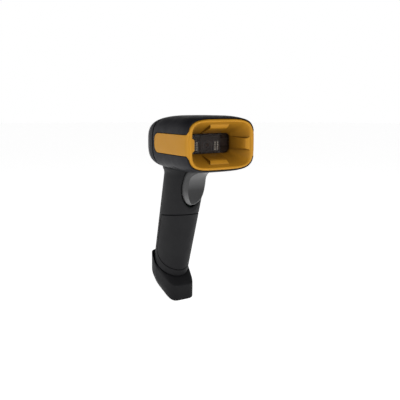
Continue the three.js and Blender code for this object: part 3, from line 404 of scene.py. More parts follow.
# ---------------------------------------------------------------- materials
class Shader:
    """A Principled material whose nodes are added one by one."""

    def __init__(self, name, **constants):
        self.material = bpy.data.materials.new(name)
        self.material.use_nodes = True
        self.nodes = self.material.node_tree.nodes
        self.links = self.material.node_tree.links
        self.surface = self.nodes["Principled BSDF"]
        self.place = self.nodes.new("ShaderNodeTexCoord").outputs["Object"]
        for socket, value in constants.items():
            self.surface.inputs[socket.replace("_", " ")].default_value = value

    def noise(self, scale, detail=3.0, stretch=None):
        node = self.nodes.new("ShaderNodeTexNoise")
        node.inputs["Scale"].default_value = scale
        node.inputs["Detail"].default_value = detail
        place = self.place
        if stretch:
            mapping = self.nodes.new("ShaderNodeMapping")
            mapping.inputs["Scale"].default_value = stretch
            self.links.new(place, mapping.inputs["Vector"])
            place = mapping.outputs["Vector"]
        self.links.new(place, node.inputs["Vector"])
        return node.outputs["Fac"]

    def cells(self, scale):
        node = self.nodes.new("ShaderNodeTexVoronoi")
        node.inputs["Scale"].default_value = scale
        self.links.new(self.place, node.inputs["Vector"])
        return node.outputs["Distance"]

    def spread(self, value, low, high, to_low, to_high):
        node = self.nodes.new("ShaderNodeMapRange")
        self.links.new(value, node.inputs["Value"])
        for socket, number in zip(("From Min", "From Max", "To Min", "To Max"), (low, high, to_low, to_high)):
            node.inputs[socket].default_value = number
        return node.outputs["Result"]

    def reckoned(self, first, second, operation="ADD"):
        """Two values added, or joined by another operation."""
        node = self.nodes.new("ShaderNodeMath")
        node.operation = operation
        self.links.new(first, node.inputs[0])
        self.links.new(second, node.inputs[1])
        return node.outputs["Value"]

    def mix(self, factor, first, second):
        node = self.nodes.new("ShaderNodeMix")
        node.data_type = "RGBA"
        self.links.new(factor, node.inputs["Factor"])
        for socket, colour in ((node.inputs[6], first), (node.inputs[7], second)):
            if isinstance(colour, bpy.types.NodeSocket):
                self.links.new(colour, socket)
            else:
                socket.default_value = (*colour, 1)
        return node.outputs[2]

    def edges(self, low, high):
        """0 on the flats, 1 on sharp outer edges."""
        geometry = self.nodes.new("ShaderNodeNewGeometry")
        return self.spread(geometry.outputs["Pointiness"], low, high, 0, 1)

    def recesses(self, depth):
        """1 in the open, 0 in recesses of the given depth."""
        node = self.nodes.new("ShaderNodeAmbientOcclusion")
        node.samples = 12
        node.inputs["Distance"].default_value = depth
        return node.outputs["AO"]

    def colour(self, socket):
        self.links.new(socket, self.surface.inputs["Base Color"])

    def roughness(self, socket):
        self.links.new(socket, self.surface.inputs["Roughness"])

    def bump(self, height, strength, distance):
        node = self.nodes.new("ShaderNodeBump")
        node.inputs["Strength"].default_value = strength
        node.inputs["Distance"].default_value = distance
        self.links.new(height, node.inputs["Height"])
        last = self.surface.inputs["Normal"].links
        if last:
            self.links.new(last[0].from_socket, node.inputs["Normal"])
        self.links.new(node.outputs["Normal"], self.surface.inputs["Normal"])


def moulded(name, dark, light, rough, grain, depth, specular=0.4, edge=None, recess=None):
    """Moulded plastic: fine spark-eroded grain, slow colour drift, a painted highlight on sharp edges and
    painted shade that darkens the recesses: (depth in metres, colour)."""
    shader = Shader(name, Specular_IOR_Level=specular)
    drift = shader.spread(shader.noise(45.0, 4.0), 0.35, 0.65, 0, 1)
    colour = shader.mix(drift, dark, light)
    # Painted highlight: the edge colour lightens sharp outer edges, found by pointiness.
    if edge:
        colour = shader.mix(shader.edges(0.53, 0.62), colour, edge)
    # Painted shade: ambient occlusion darkens the colour towards the given dark colour in recesses.
    if recess:
        colour = shader.mix(shader.spread(shader.recesses(recess[0]), 0.25, 0.95, 0, 1), recess[1], colour)
    shader.colour(colour)
    shader.roughness(shader.spread(shader.noise(160.0, 5.0), 0.3, 0.7, rough - 0.05, rough + 0.06))
    shader.bump(shader.noise(grain, 2.0), 0.35, depth)
    shader.bump(shader.noise(260.0, 3.0), 0.12, 0.00005)
    return shader.material


def key_with_painted_light(name, node, facing):
    """Satin plastic of a key with painted highlights: its face painted lighter towards the top, its rim
    painted lighter towards the bottom.
    """
    low, high = box_mm(node)
    shader = Shader(name, Specular_IOR_Level=0.25)
    split = shader.nodes.new("ShaderNodeSeparateXYZ")
    shader.links.new(shader.place, split.inputs["Vector"])
    height = split.outputs["Z"]
    bottom, top = low[2] / MM, high[2] / MM
    middle = lerp(bottom, top, 0.45)
    lower = shader.spread(height, bottom, middle, 0, 1)
    # Painted highlight: the face runs from near black at the bottom to light grey at the top.
    face = shader.mix(lower, (0.01, 0.01, 0.0105), (0.024, 0.024, 0.025))
    face = shader.mix(shader.spread(height, middle, top, 0, 1), face, (0.17, 0.17, 0.172))
    # Painted highlight: the rim is light grey at the bottom and darker from the middle up.
    rim = shader.mix(lower, (0.17, 0.17, 0.172), (0.05, 0.05, 0.051))
    turned_to = shader.nodes.new("ShaderNodeVectorMath")
    turned_to.operation = "DOT_PRODUCT"
    coordinates = shader.nodes.new("ShaderNodeTexCoord")
    shader.links.new(coordinates.outputs["Normal"], turned_to.inputs[0])
    turned_to.inputs[1].default_value = facing
    sideways = shader.nodes.new("ShaderNodeSeparateXYZ")
    shader.links.new(coordinates.outputs["Normal"], sideways.inputs["Vector"])
    squared = shader.reckoned(sideways.outputs["X"], sideways.outputs["X"], "MULTIPLY")
    flare = shader.spread(height, top - 0.014, top - 0.008, 0, 1)
    raised = shader.reckoned(shader.spread(squared, 0, 1, 0.35, -0.25), flare, "MULTIPLY")
    frontness = shader.reckoned(turned_to.outputs["Value"], raised)
    # The face colour goes where the surface looks forward and the rim colour elsewhere, so both painted
    # highlights follow the trigger's shape.
    shader.colour(shader.mix(shader.spread(frontness, 0.86, 0.93, 0, 1), rim, face))
    shader.roughness(shader.spread(shader.noise(160.0, 5.0), 0.3, 0.7, 0.33, 0.42))
    shader.bump(shader.noise(5200.0, 2.0), 0.3, 0.00001)
    return shader.material


def metal(name, dark, light, rough, brushed):
    shader = Shader(name, Metallic=1.0)
    lines = shader.noise(900.0, 3.0, stretch=brushed)
    shader.colour(shader.mix(shader.spread(lines, 0.3, 0.7, 0, 1), dark, light))
    shader.roughness(shader.spread(lines, 0.3, 0.7, rough - 0.07, rough + 0.1))
    shader.bump(lines, 0.12, 0.00002)
    return shader.material


def clear(name, tint, alpha, rough, specular=0.6):
    shader = Shader(name, Alpha=alpha, IOR=1.5, Specular_IOR_Level=specular)
    haze = shader.noise(300.0, 4.0)
    shader.colour(shader.mix(haze, tint, tuple(min(1, 1.25 * c) for c in tint)))
    shader.roughness(shader.spread(haze, 0.3, 0.7, rough, rough + 0.04))
    return shader.material


def circuit_board(name):
    """Solder mask over copper fill: cell-edged lands with fine traces."""
    shader = Shader(name, Specular_IOR_Level=0.5, Coat_Weight=0.3)
    lands = shader.spread(shader.cells(420.0), 0.42, 0.5, 0, 1)
    traces = shader.spread(shader.noise(700.0, 0.0, stretch=(1, 0.15, 0.15)), 0.49, 0.53, 0, 1)
    green = shader.mix(traces, (0.006, 0.05, 0.022), (0.012, 0.1, 0.045))
    shader.colour(shader.mix(lands, green, (0.02, 0.13, 0.065)))
    shader.roughness(shader.spread(traces, 0, 1, 0.42, 0.32))
    shader.bump(traces, 0.2, 0.00003)
    return shader.material


def shrink_wrap(name):
    shader = Shader(name, Coat_Weight=0.4)
    creases = shader.noise(90.0, 3.0, stretch=(1, 1, 5))
    shader.colour(shader.mix(shader.spread(creases, 0.4, 0.6, 0, 1), (0.03, 0.06, 0.16), (0.045, 0.085, 0.2)))
    shader.roughness(shader.spread(creases, 0.3, 0.7, 0.28, 0.42))
    shader.bump(creases, 0.3, 0.00012)
    return shader.material


# The recess colours below are painted shade in recesses, and the edge colours are painted highlights on sharp
# edges.
MATERIALS = {
    "black_plastic": moulded(
        "head_black", (0.0085, 0.0085, 0.0108), (0.0108, 0.0108, 0.0135), 0.46, 3400.0, 0.000022, 0.12,
        recess=(0.005, (0.001, 0.001, 0.0015)),
    ),
    "grip_black": moulded(
        "grip_black", (0.0105, 0.0105, 0.0115), (0.013, 0.013, 0.014), 0.56, 2600.0, 0.000035, 0.12,
        recess=(0.03, (0.001, 0.001, 0.0015)),
    ),
    "inner_black": moulded(
        "engine_black", (0.016, 0.016, 0.018), (0.02, 0.02, 0.022), 0.45, 5000.0, 0.00001, 0.3,
        (0.07, 0.07, 0.075),
    ),
    "yellow_plastic": moulded(
        "amber_yellow", (0.43, 0.2, 0.015), (0.46, 0.216, 0.018), 0.4, 4200.0, 0.000012, 0.12,
        (0.58, 0.29, 0.035), recess=(0.03, (0.07, 0.03, 0.002)),
    ),
    "trigger_grey": key_with_painted_light("trigger_grey", "trigger", FORWARD),
    "plunger_grey": moulded("plunger_grey", (0.16, 0.16, 0.16), (0.2, 0.2, 0.2), 0.5, 5000.0, 0.00001),
    "seal_rubber": moulded(
        "seal_rubber", (0.012, 0.012, 0.012), (0.018, 0.018, 0.018), 0.8, 3000.0, 0.00003, 0.25,
    ),
    "window_glass": clear("window_glass", (0.03, 0.02, 0.016), 0.25, 0.03, 0.25),
    "clear_lens": clear("clear_lens", (0.1, 0.1, 0.105), 0.6, 0.08),
    "led_phosphor": clear("led_phosphor", (0.62, 0.58, 0.5), 0.9, 0.2),
    "light_pipe": clear("light_pipe", (0.72, 0.75, 0.75), 0.85, 0.3),
    "circuit_board": circuit_board("circuit_board"),
    "steel": metal("zinc_plated_steel", (0.42, 0.42, 0.43), (0.62, 0.62, 0.63), 0.3, (1, 1, 6)),
    "gold_contact": metal("gold_plating", (0.62, 0.42, 0.16), (0.8, 0.58, 0.26), 0.25, (4, 1, 1)),
    "flex_amber": moulded("flex_amber", (0.36, 0.13, 0.02), (0.48, 0.2, 0.04), 0.35, 4000.0, 0.00001, 0.5),
    "cell_wrap": shrink_wrap("cell_wrap"),
}


def tidied(mesh):
    """Closes up the slivers a cut leaves behind, which would show as specks in the shading."""
    shape = bmesh.new()
    shape.from_mesh(mesh)
    bmesh.ops.remove_doubles(shape, verts=shape.verts, dist=0.000002)
    bmesh.ops.dissolve_degenerate(shape, edges=shape.edges, dist=0.000004)
    shape.to_mesh(mesh)
    shape.free()


def finished(obj, node, sharp=36.0, nodes=()):
    """Shades a piece, gives it its node's material and body, and hides the CAD nodes it stands for."""
    obj.name = node + "_fine"
    obj.data.materials.clear()
    obj.data.materials.append(MATERIALS[SLOTS[node]])
    tidied(obj.data)
    obj.data.shade_smooth()
    obj.data.set_sharp_from_angle(angle=math.radians(sharp))
    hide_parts(*(nodes or (node,)))
    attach(obj, frame["nodes"][node]["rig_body"])
    return obj


# ---------------------------------------------------------------- head skin
HEAD_ANGLES = even_angles(AROUND, HEAD_HALF_WIDTH, NOSE_HALF_HEIGHT, 3.6)


def head_section(y, inset=0.0):
    nose = clamp01((y - HOUSING_FRONT) / NOSE_SWELL)
    swell = nose * (2 - nose)
    rear = HEAD_REAR - inset

    def fall(start, power):
        return round_off((y - start) / (rear - start), power)

    flank = lerp(HEAD_HALF_WIDTH, HEAD_BACK_HALF_WIDTH, y / CAP_SEAM) - NOSE_PINCH * (1 - swell)
    half_width = (flank - inset) * fall(*WIDTH_ROUND)
    top = (lerp(NOSE_HALF_HEIGHT, HEAD_TOP, swell) - inset) * fall(*CROWN_ROUND)
    bottom = (lerp(NOSE_HALF_HEIGHT, HEAD_BOTTOM, swell) - inset) * fall(*KEEL_ROUND)
    power = lerp(*HEAD_POWER, clamp01(y / CAP_SEAM))
    return half_width, (top + bottom) / 2, power, (top - bottom) / 2


def front_ring(y, half_width, half_height, power, centre=0.0, angles=HEAD_ANGLES):
    x, z = super_point(angles, half_width, half_height, power)
    return np.stack([x, np.full_like(x, y), z + centre], 1)


def head_ring(y, inset=0.0):
    half_width, half_height, power, centre = head_section(y, inset)
    return front_ring(y, half_width, half_height, power, centre)


def head_side(side):
    """The head's flank as a surface for slab: uv is (y, z), rise is outwards."""
    def surface(uv, rise):
        y, z = uv[:, 0], uv[:, 1]
        half_width, half_height, power, centre = head_section(y)
        share = clamp01(np.abs((z - centre) / half_height)) ** power
        x = half_width * (1 - share) ** (1 / power)
        return np.stack([side * (x + rise), y, z], 1)
    return surface


def head_block(name, start, end, grow=0.0):
    """Solid between two stations of the head's skin."""
    rear = HEAD_REAR + grow - 0.05
    return loft(name, [head_ring(y, -grow) for y in head_stations(start, min(end, rear), 40)])


def head_stations(start, end, count):
    """Stations along Y, closer together where the head closes at the rear."""
    if end < HEAD_REAR - 8:
        return np.linspace(start, end, count)
    share = np.sin(np.linspace(0, math.pi / 2, count))
    return lerp(start, end, share)


# ---------------------------------------------------------------- head pieces
def arm_outline(front):
    """One side arm seen from the side: fillets where it leaves the nose ring, and a rounded rear end."""
    fillet = np.linspace(0, math.pi / 2, 10)
    start = [[front, ARM_HALF_HEIGHT + ARM_FILLET]]
    flare = np.stack([
        HOUSING_FRONT + ARM_FILLET * (1 - np.cos(fillet)),
        ARM_HALF_HEIGHT + ARM_FILLET * (1 - np.sin(fillet)),
    ], 1)
    end = bezier((ARM_END - 7, ARM_HALF_HEIGHT), (ARM_END - 1.5, ARM_HALF_HEIGHT), (ARM_END, 5), (ARM_END, 0))
    upper = np.concatenate([[[front, 0]], start, flare, end])
    return two_halves(upper, upper * [1, -1], 110)


def head_housing():
    r = SEAM_ROUND
    rear = CAP_SEAM - GAP / 2
    front = HOUSING_FRONT
    lip = (BEZEL_HALF_WIDTH + GAP, BEZEL_HALF_HEIGHT + GAP, BEZEL_POWER)
    seat = BEZEL_DEPTH + 1.6
    rings = [head_ring(front, 0.45), head_ring(front + 0.12, 0.16), head_ring(front + 0.4)]
    land = rear - SEAM_LAND
    rings += [head_ring(y) for y in np.linspace(front + 1.2, land - 2 * r, 46)]
    rings += [head_ring(land - r), head_ring(land - 0.3 * r, 0.3 * r), head_ring(land, r), head_ring(rear, r)]
    rings += [head_ring(rear, WALL)]
    rings += [head_ring(y, WALL) for y in np.linspace(rear - 1, seat, 16)]
    rings += [front_ring(seat, *lip), front_ring(front + 0.1, *lip)]
    shell = loft("housing", rings, tube=True)
    outline = arm_outline(NOSE_FRONT - 1)
    rim = [
        (GAP, -ARM_THICKNESS - GAP), (GAP, -0.4), (GAP + 0.06, -0.16), (GAP + 0.2, 0),
        (GAP + 0.5, 0.2), (GAP + 0.5, 1.5),
    ]
    cutters = [slab("pocket", outline, head_side(side), rim) for side in (-1, 1)]
    for side in (-1, 1):
        cutters.append(rod("slot", 0.55, (side * 27.9, 27.3, -18.2), (side * 25.3, 19.7, -20.3)))
    cable_way = [(12, 0), (12, 15)]
    cutters.append(turned("cable_way", cable_way, (0, 50, -30), (0, 0, 1)))
    return finished(combine(shell, cutters), "head_housing")


def rear_cap():
    r = SEAM_ROUND
    front = CAP_SEAM + GAP / 2
    line = front + 4.2                     # fine step line that runs round behind the seam
    depth = 0.22
    land = front + SEAM_LAND
    rings = [head_ring(front, r), head_ring(land, r), head_ring(land + 0.3 * r, 0.3 * r), head_ring(land + r)]
    rings += [head_ring(y) for y in np.linspace(land + 2 * r, line - 0.3, 6)]
    rings += [head_ring(line, depth), head_ring(line + 0.25, depth), head_ring(line + 0.45, 0.02)]
    dome = HEAD_REAR - 0.02
    rings += [head_ring(y) for y in lerp(line + 0.9, dome, np.sin(np.linspace(0, math.pi / 2, 48)))]
    inner = HEAD_REAR - WALL - 0.02
    lining = [head_ring(y, WALL) for y in lerp(front, inner, np.sin(np.linspace(0, math.pi / 2, 18)))]
    shell = loft("cap", lining[::-1] + rings)
    inside = head_block("inside", CAP_SEAM + GAP / 2, HEAD_REAR, -0.6)
    bosses = []
    cutters = []
    for number in range(1, 5):
        node = f"cap_screw_{number}"
        x, _, z = middle_of(node)
        head = local_box(node)[1][1] - 1.9
        bosses.append(rod("boss", BOSS_RADIUS, (x, front, z), (x, HEAD_REAR, z)))
        cutters.append(rod("hole", SCREW_WAY, (x, front - 1, z), (x, HEAD_REAR, z)))
        cutters.append(rod("counterbore", 2.55, (x, head, z), (x, HEAD_REAR + 2, z)))
    x, y, _ = middle_of("status_light")
    cutters.append(rod("light_hole", 2.15, (x, y, 8), (x, y, 30)))
    combine(shell, [combine(boss, [twin(inside)], "INTERSECT") for boss in bosses], "UNION")
    bpy.data.objects.remove(inside)
    return finished(combine(shell, cutters), "rear_cap")


def status_light():
    low, high = local_box("status_light")
    height = high[2] - low[2]
    profile = [
        (1.95, 0), (1.95, height - 0.6), (1.85, height - 0.3), (1.5, height - 0.1),
        (0.8, height), (0.1, height),
    ]
    x, y, _ = middle_of("status_light")
    return finished(turned("light", profile, (x, y, low[2]), (0, 0, 1)), "status_light")


def horn_section(y):
    t = clamp01((y - MOUTH_Y) / (HORN_DEPTH - HORN_SILL - MOUTH_Y))
    return (
        lerp(MOUTH_HALF_WIDTH, WINDOW_HALF_WIDTH, t),
        lerp(MOUTH_HALF_HEIGHT, WINDOW_HALF_HEIGHT, t),
        lerp(MOUTH_POWER, WINDOW_POWER, t),
    )


def horn_ring(y, grow=0.0):
    half_width, half_height, power = horn_section(y)
    return front_ring(y, half_width + grow, half_height + grow, power)


def lip_ring(share):
    """The nose ring's rounded front, from its outer side (0) to the mouth (1)."""
    half_width, half_height, power = horn_section(LIP_BACK)
    return front_ring(
        NOSE_FRONT + (LIP_BACK - NOSE_FRONT) * abs(2 * share - 1) ** 2.3,
        lerp(BEZEL_HALF_WIDTH, half_width, share),
        lerp(BEZEL_HALF_HEIGHT, half_height, share),
        lerp(BEZEL_POWER, power, share),
    )


def pad(across, up, front, span):
    """Wedge on one wall of the horn, steep in front and fading out at the window."""
    turn = np.linspace(0, math.pi / 2, 5)
    back = HORN_DEPTH - HORN_SILL - 0.4
    rings = []
    for y, rise in (
        (0, 0.28), (0.5, 0.55), (1.1, 0.82), (1.7, 0.96), (2.2, 1), (6, 0.7), (10, 0.4), (0, 0.03),
    ):
        depth = back if rise < 0.1 else front + y
        if rise < 1 and y > 2.2:
            rise = (back - depth) / (back - front - 2.2)
        height = PAD_RISE * rise
        r = min(0.5, 0.6 * height)
        reach = span - 0.5 * height
        corner = np.stack([reach - r + r * np.cos(turn), height - r + r * np.sin(turn)], 1)
        right = np.concatenate([[[span, -0.9]], corner])
        section = np.concatenate([right, (right * [-1, 1])[::-1]])
        half_width, half_height, _ = horn_section(depth)
        toward = (half_width if across else half_height) - section[:, 1]
        rings.append(np.stack([
            across * toward + up * section[:, 0],
            np.full(len(section), depth),
            up * toward + across * section[:, 0],
        ], 1))
    return loft("pad", rings)


def horn_pads():
    return [pad(1, 0, *SIDE_PAD), pad(-1, 0, *SIDE_PAD), pad(0, 1, *TOP_PAD), pad(0, -1, *TOP_PAD)]


def arm(side):
    """A side arm, whose front end sinks to the level of the nose ring."""
    flank = head_side(side)

    def surface(uv, rise):
        sink = 0.85 * clamp01((HOUSING_FRONT + 3.4 - uv[:, 0]) / 4.0) ** 2
        return flank(uv, rise) - np.stack([side * sink, 0 * sink, 0 * sink], 1)

    t = ARM_THICKNESS
    rim = [(-0.1, -t), (0, -t + 0.1), (0, -0.35), (-0.1, -0.1), (-0.35, 0)]
    return slab("arm", arm_outline(HOUSING_FRONT - 0.4), surface, rim, rows=20)


def bezel():
    rings = [lip_ring(share) for share in np.linspace(0, 1, 23)]
    rings += [horn_ring(y) for y in np.linspace(LIP_BACK + 0.6, HORN_DEPTH - HORN_SILL, 16)]
    rings += [horn_ring(HORN_DEPTH)]
    rings += [horn_ring(y, HORN_WALL) for y in np.linspace(HORN_DEPTH, BEZEL_DEPTH + 0.4, 8)]
    rings += [front_ring(y, BEZEL_HALF_WIDTH - inset, BEZEL_HALF_HEIGHT - inset, BEZEL_POWER)
              for y, inset in ((BEZEL_DEPTH, 0.3), (BEZEL_DEPTH - 0.3, 0), (0, 0))]
    body = loft("ring", rings, tube=True)
    parts = [arm(-1), arm(1)] + horn_pads()
    for node in ("engine_screw_left", "engine_screw_right"):
        x = middle_of(node)[0]
        boss = rod("boss", 2.6, (x, HORN_DEPTH / 2, 0), (x, 24.6, 0))
        parts.append(combine(boss, [rod("way", SCREW_WAY, (x, HORN_DEPTH, 0), (x, 26, 0))]))
    combine(body, parts, "UNION")
    throat_stations = np.linspace(HORN_DEPTH / 2 - 1, HORN_DEPTH + 0.5, 6)
    throat = loft("throat", [horn_ring(y, -0.01) for y in throat_stations])
    combine(body, [combine(throat, horn_pads())])
    return finished(body, "bezel", sharp=34.0)


# ---------------------------------------------------------------- window and engine
def facing(x, y, z):
    """A flat surface for plate that looks forward, with its back at the given point."""
    return plane((x, y, z), (1, 0, 0), (0, 0, 1))


def front_plate(name, node, outline, rounding=0.2, rows=6):
    """A plate that fills a CAD node's depth, facing the front."""
    low, high = local_box(node)
    x, _, z = middle_of(node)
    return plate(name, outline, facing(x, high[1], z), high[1] - low[1], rounding, rows)


def window_parts():
    half = half_size("window")
    glass = front_plate("glass", "window", rounded_rectangle(half[0], half[2], 3.0), 0.15)
    finished(glass, "window")
    seal = front_plate("seal", "window_seal", rounded_rectangle(half[0], half[2], 3.0))
    low, high = local_box("window_seal")
    inner = rounded_rectangle(half[0] - 1.5, half[2] - 1.5, 2.6)
    opening = plate("opening", inner, facing(0, high[1] + 1, 0), high[1] - low[1] + 2, 0.02)
    finished(combine(seal, [opening]), "window_seal")


def engine():
    low, high = local_box("engine_chassis")
    lens_low, lens_high = local_box("lens_barrel")
    lens_z = (lens_low[2] + lens_high[2]) / 2
    radius = (lens_high[0] - lens_low[0]) / 2
    front = low[1]
    bottom, top = low[2], high[2]
    middle = (bottom + top) / 2
    tall = (top - bottom) / 2
    back = high[1]
    outline = rounded_rectangle(ENGINE_HALF_WIDTH, tall, 0.5)
    body = plate("block", outline, facing(0, back, middle), back - front - 1, 0.25)
    outline = rounded_rectangle(ENGINE_NOSE_HALF_WIDTH, tall - 0.05, 0.4)
    nose = plate("nose", outline, facing(0, front + 2, middle), 2, 0.25)
    outline = rounded_rectangle(high[0], 3.0, 1.6)
    ears = plate("ears", outline, facing(0, EAR_FRONT + EAR_THICKNESS, 0), EAR_THICKNESS, 0.2)
    combine(body, [nose, ears], "UNION")
    cutters = [rod("bore", radius + GAP, (0, front - 1, lens_z), (0, front + 9, lens_z), 64)]
    for side in ("left", "right"):
        x, _, z = middle_of(f"led_lens_{side}")
        half = half_size(f"led_lens_{side}") + GAP
        outline = rounded_rectangle(half[0], half[2], 0.4)
        cutters.append(plate("pocket", outline, facing(x, front + 4, z), 5, 0.05))
        x = middle_of(f"engine_screw_{side}")[0]
        cutters.append(rod("screw_way", SCREW_WAY, (x, front, 0), (x, back, 0)))
    finished(combine(body, cutters), "engine_chassis")
    barrel = turned("barrel", [
        (1.7, 0.45), (1.85, 0.2), (2.5, 0.02), (2.62, 0), (2.9, 0), (2.98, 0.12), (3.3, 0.12), (3.38, 0),
        (radius - 0.25, 0), (radius - 0.07, 0.07), (radius, 0.25), (radius, 8.3), (radius - 0.1, 8.4),
        (2.95, 8.4), (2.9, 8.3), (2.9, 2), (1.75, 1.1), (1.7, 1),
    ], (0, lens_low[1], lens_z), (0, 1, 0), 72, tube=True)
    finished(barrel, "lens_barrel")
    glass_front = local_box("lens_glass")[0][1]
    arc = np.linspace(0.15, math.pi / 2, 9)
    dome = [(1e-3, 0)] + [(2.5 * math.sin(a), 1.3 * (1 - math.cos(a))) for a in arc]
    dome += [(2.5, 3.0), (2.3, 3.2), (1.3, 3.65), (1e-3, 3.8)]
    glass = turned("lens", dome, (0, glass_front, lens_z), (0, 1, 0), 48)
    finished(glass, "lens_glass")
    for side in ("left", "right"):
        led_tile(f"led_lens_{side}")


def led_tile(node):
    """Illumination optic: eight domes, two across and four down, on one base."""
    low, high = local_box(node)
    middle, half = middle_of(node), half_size(node)
    face = low[1] + 0.7
    surface = facing(middle[0], high[1], middle[2])
    base = plate("tile", rounded_rectangle(half[0], half[2], 0.3), surface, high[1] - face, 0.12)
    domes = []
    for row in range(4):
        for column in range(2):
            centre = (middle[0] + (column - 0.5) * 2.5, face + 0.4, low[2] + 0.95 + row * 1.9)
            arc = [(1e-3, -1.1)] + [(0.9 * math.sin(a), -1.1 * math.cos(a)) for a in np.linspace(0.2, 1.5, 8)]
            domes.append(turned("dome", arc + [(0.9, 0.2)], centre, (0, 1, 0), 20))
    tile = finished(combine(base, domes, "UNION"), node)
    tile.data.materials.append(MATERIALS["led_phosphor"])
    plane_y = (face + NOSE[1]) / MM - 1e-5
    for polygon in tile.data.polygons:
        polygon.material_index = int(polygon.center.y < plane_y)


# ---------------------------------------------------------------- grip skin
DOWN = np.array([0, math.sin(TILT), -math.cos(TILT)])
GRIP_AXIS = np.array([0, AXIS_Y, AXIS_Z])
GRIP_ANGLES = np.linspace(0, 2 * math.pi, AROUND, endpoint=False)
GRIP_RADIUS = 18.0                   # turns an angle on the grip's skin into a length


def on_grip(x, forward, along):
    x, forward, along = np.broadcast_arrays(x, forward, along)
    across = np.stack([x, np.zeros_like(x), np.zeros_like(x)], -1)
    return GRIP_AXIS + across + forward[..., None] * FORWARD + along[..., None] * DOWN


def grip_half(along):
    t = clamp01(along / GRIP_END)
    return lerp(*GRIP_HALF_WIDTH, t), lerp(*GRIP_HALF_DEPTH, t)


def grip_point(angle, along, spread):
    """Point on the grip's skin; the angle is measured from the front, towards +X."""
    half_width, half_depth = grip_half(along)
    return on_grip((half_width + spread) * np.sin(angle), (half_depth + spread) * np.cos(angle), along)


def grip_ring(along, lean=0.0, spread=0.0):
    """Ring round the grip, its level leaning by the given slope towards the front."""
    flare = 0.0
    if along < 9.5:
        depth = (9.5 - along) / 6.3
        flare = 1.8 * depth ** 2.3 if depth < 1 else 1.8 + 0.7 * (depth - 1)
    half_depth = grip_half(along)[1] + spread + flare
    station = along - lean * half_depth * np.cos(GRIP_ANGLES)
    half_width, half_depth = grip_half(station)
    reach = spread + flare
    return on_grip(
        (half_width + reach) * np.sin(GRIP_ANGLES),
        (half_depth + reach) * np.cos(GRIP_ANGLES),
        station,
    )


def grip_levels(start, end, count):
    """Level and lean of the rings: level with the head above, square in the middle, collar line below."""
    levels = []
    for along in np.linspace(start, end, count):
        upper = math.tan(TILT) * (1 - float(clamp01((along - 9.5) / 28)))
        lower = -COLLAR_SLOPE * float(clamp01((along - 55) / (COLLAR_LINE - 55)))
        levels.append((along, upper + lower))
    return levels


def grip_surface(uv, rise):
    return grip_point(uv[:, 0] / GRIP_RADIUS, uv[:, 1], rise)


def door_outline():
    """The door's edge on the grip's skin, as (length round the grip from the front, along)."""
    side = math.acos(DOOR_SIDE / GRIP_HALF_DEPTH[1])
    reach = lerp(*GRIP_HALF_DEPTH, 0.7)
    angle = np.linspace(-side, side, 161)
    forward = reach * np.cos(angle)
    top = DOOR_TOP - DOOR_TOP_SLOPE * forward
    curve = bezier(
        (20, DOOR_BOTTOM), (5.3, DOOR_BOTTOM - 3.9), (DOOR_SIDE + 0.7, DOOR_BOTTOM - 7.8),
        (DOOR_SIDE, DOOR_BOTTOM - 11.8), 80,
    )[::-1]
    bottom = np.interp(forward, curve[:, 0], curve[:, 1])
    around = angle * GRIP_RADIUS
    middle = (top[0] + bottom[0]) / 2
    ends = np.array([[around[0], middle], [around[-1], middle]])
    upper = np.concatenate([ends[:1], np.stack([around, top], 1), ends[1:]])
    lower = np.concatenate([ends[:1], np.stack([around, bottom], 1), ends[1:]])
    outline = two_halves(upper, lower, 240)
    for _ in range(6):
        outline = (np.roll(outline, 1, 0) + 2 * outline + np.roll(outline, -1, 0)) / 4
    return outline


def trigger_outline(margin=0.0, low_margin=None, count=96):
    """Outline in (x, along): upper half first, from the left to the right end."""
    low = margin if low_margin is None else low_margin
    angle = np.linspace(math.pi, -math.pi, 2 * count - 1)[:-1]
    x, up = super_point(angle, TRIGGER_HALF_WIDTH + margin, 1.0, np.where(angle > 0, *TRIGGER_POWER))
    reach = np.where(up > 0, TRIGGER_REACH[0] + margin, TRIGGER_REACH[1] + low)
    return np.stack([x, TRIGGER_CENTRE - up * reach], 1)


# ---------------------------------------------------------------- grip pieces
def floor_screw_rod(node, radius, start, end):
    """A rod on the line of a screw that comes up through the foot."""
    x = middle_of(node)[0]
    return rod("way", radius, on_grip(x, FLOOR_SCREW_FORWARD, start), on_grip(x, FLOOR_SCREW_FORWARD, end))


def grip_front(x, along):
    half_width, half_depth = grip_half(along)
    return half_depth * np.sqrt(clamp01(1 - (x / half_width) ** 2))


def trigger_well():
    """Cutter for the trigger's opening, dished below the trigger's lower end."""
    rings = []
    for margin, low, rise in (
        (0.6, 1.3, None), (0.6, 1.3, -2.2), (0.65, 1.6, -1.5), (0.75, 2.3, -0.9), (0.9, 3.4, -0.4),
        (1.1, 4.8, -0.08), (1.5, 6.0, 0.4), (2.2, 7.0, 3.0), (2.2, 7.0, 12.0),
    ):
        outline = trigger_outline(margin, low)
        x, along = outline[:, 0], outline[:, 1]
        forward = grip_front(x, along) + rise if rise is not None else np.full(len(x), 7.0)
        rings.append(on_grip(x, forward, along))
    return loft("well", rings)


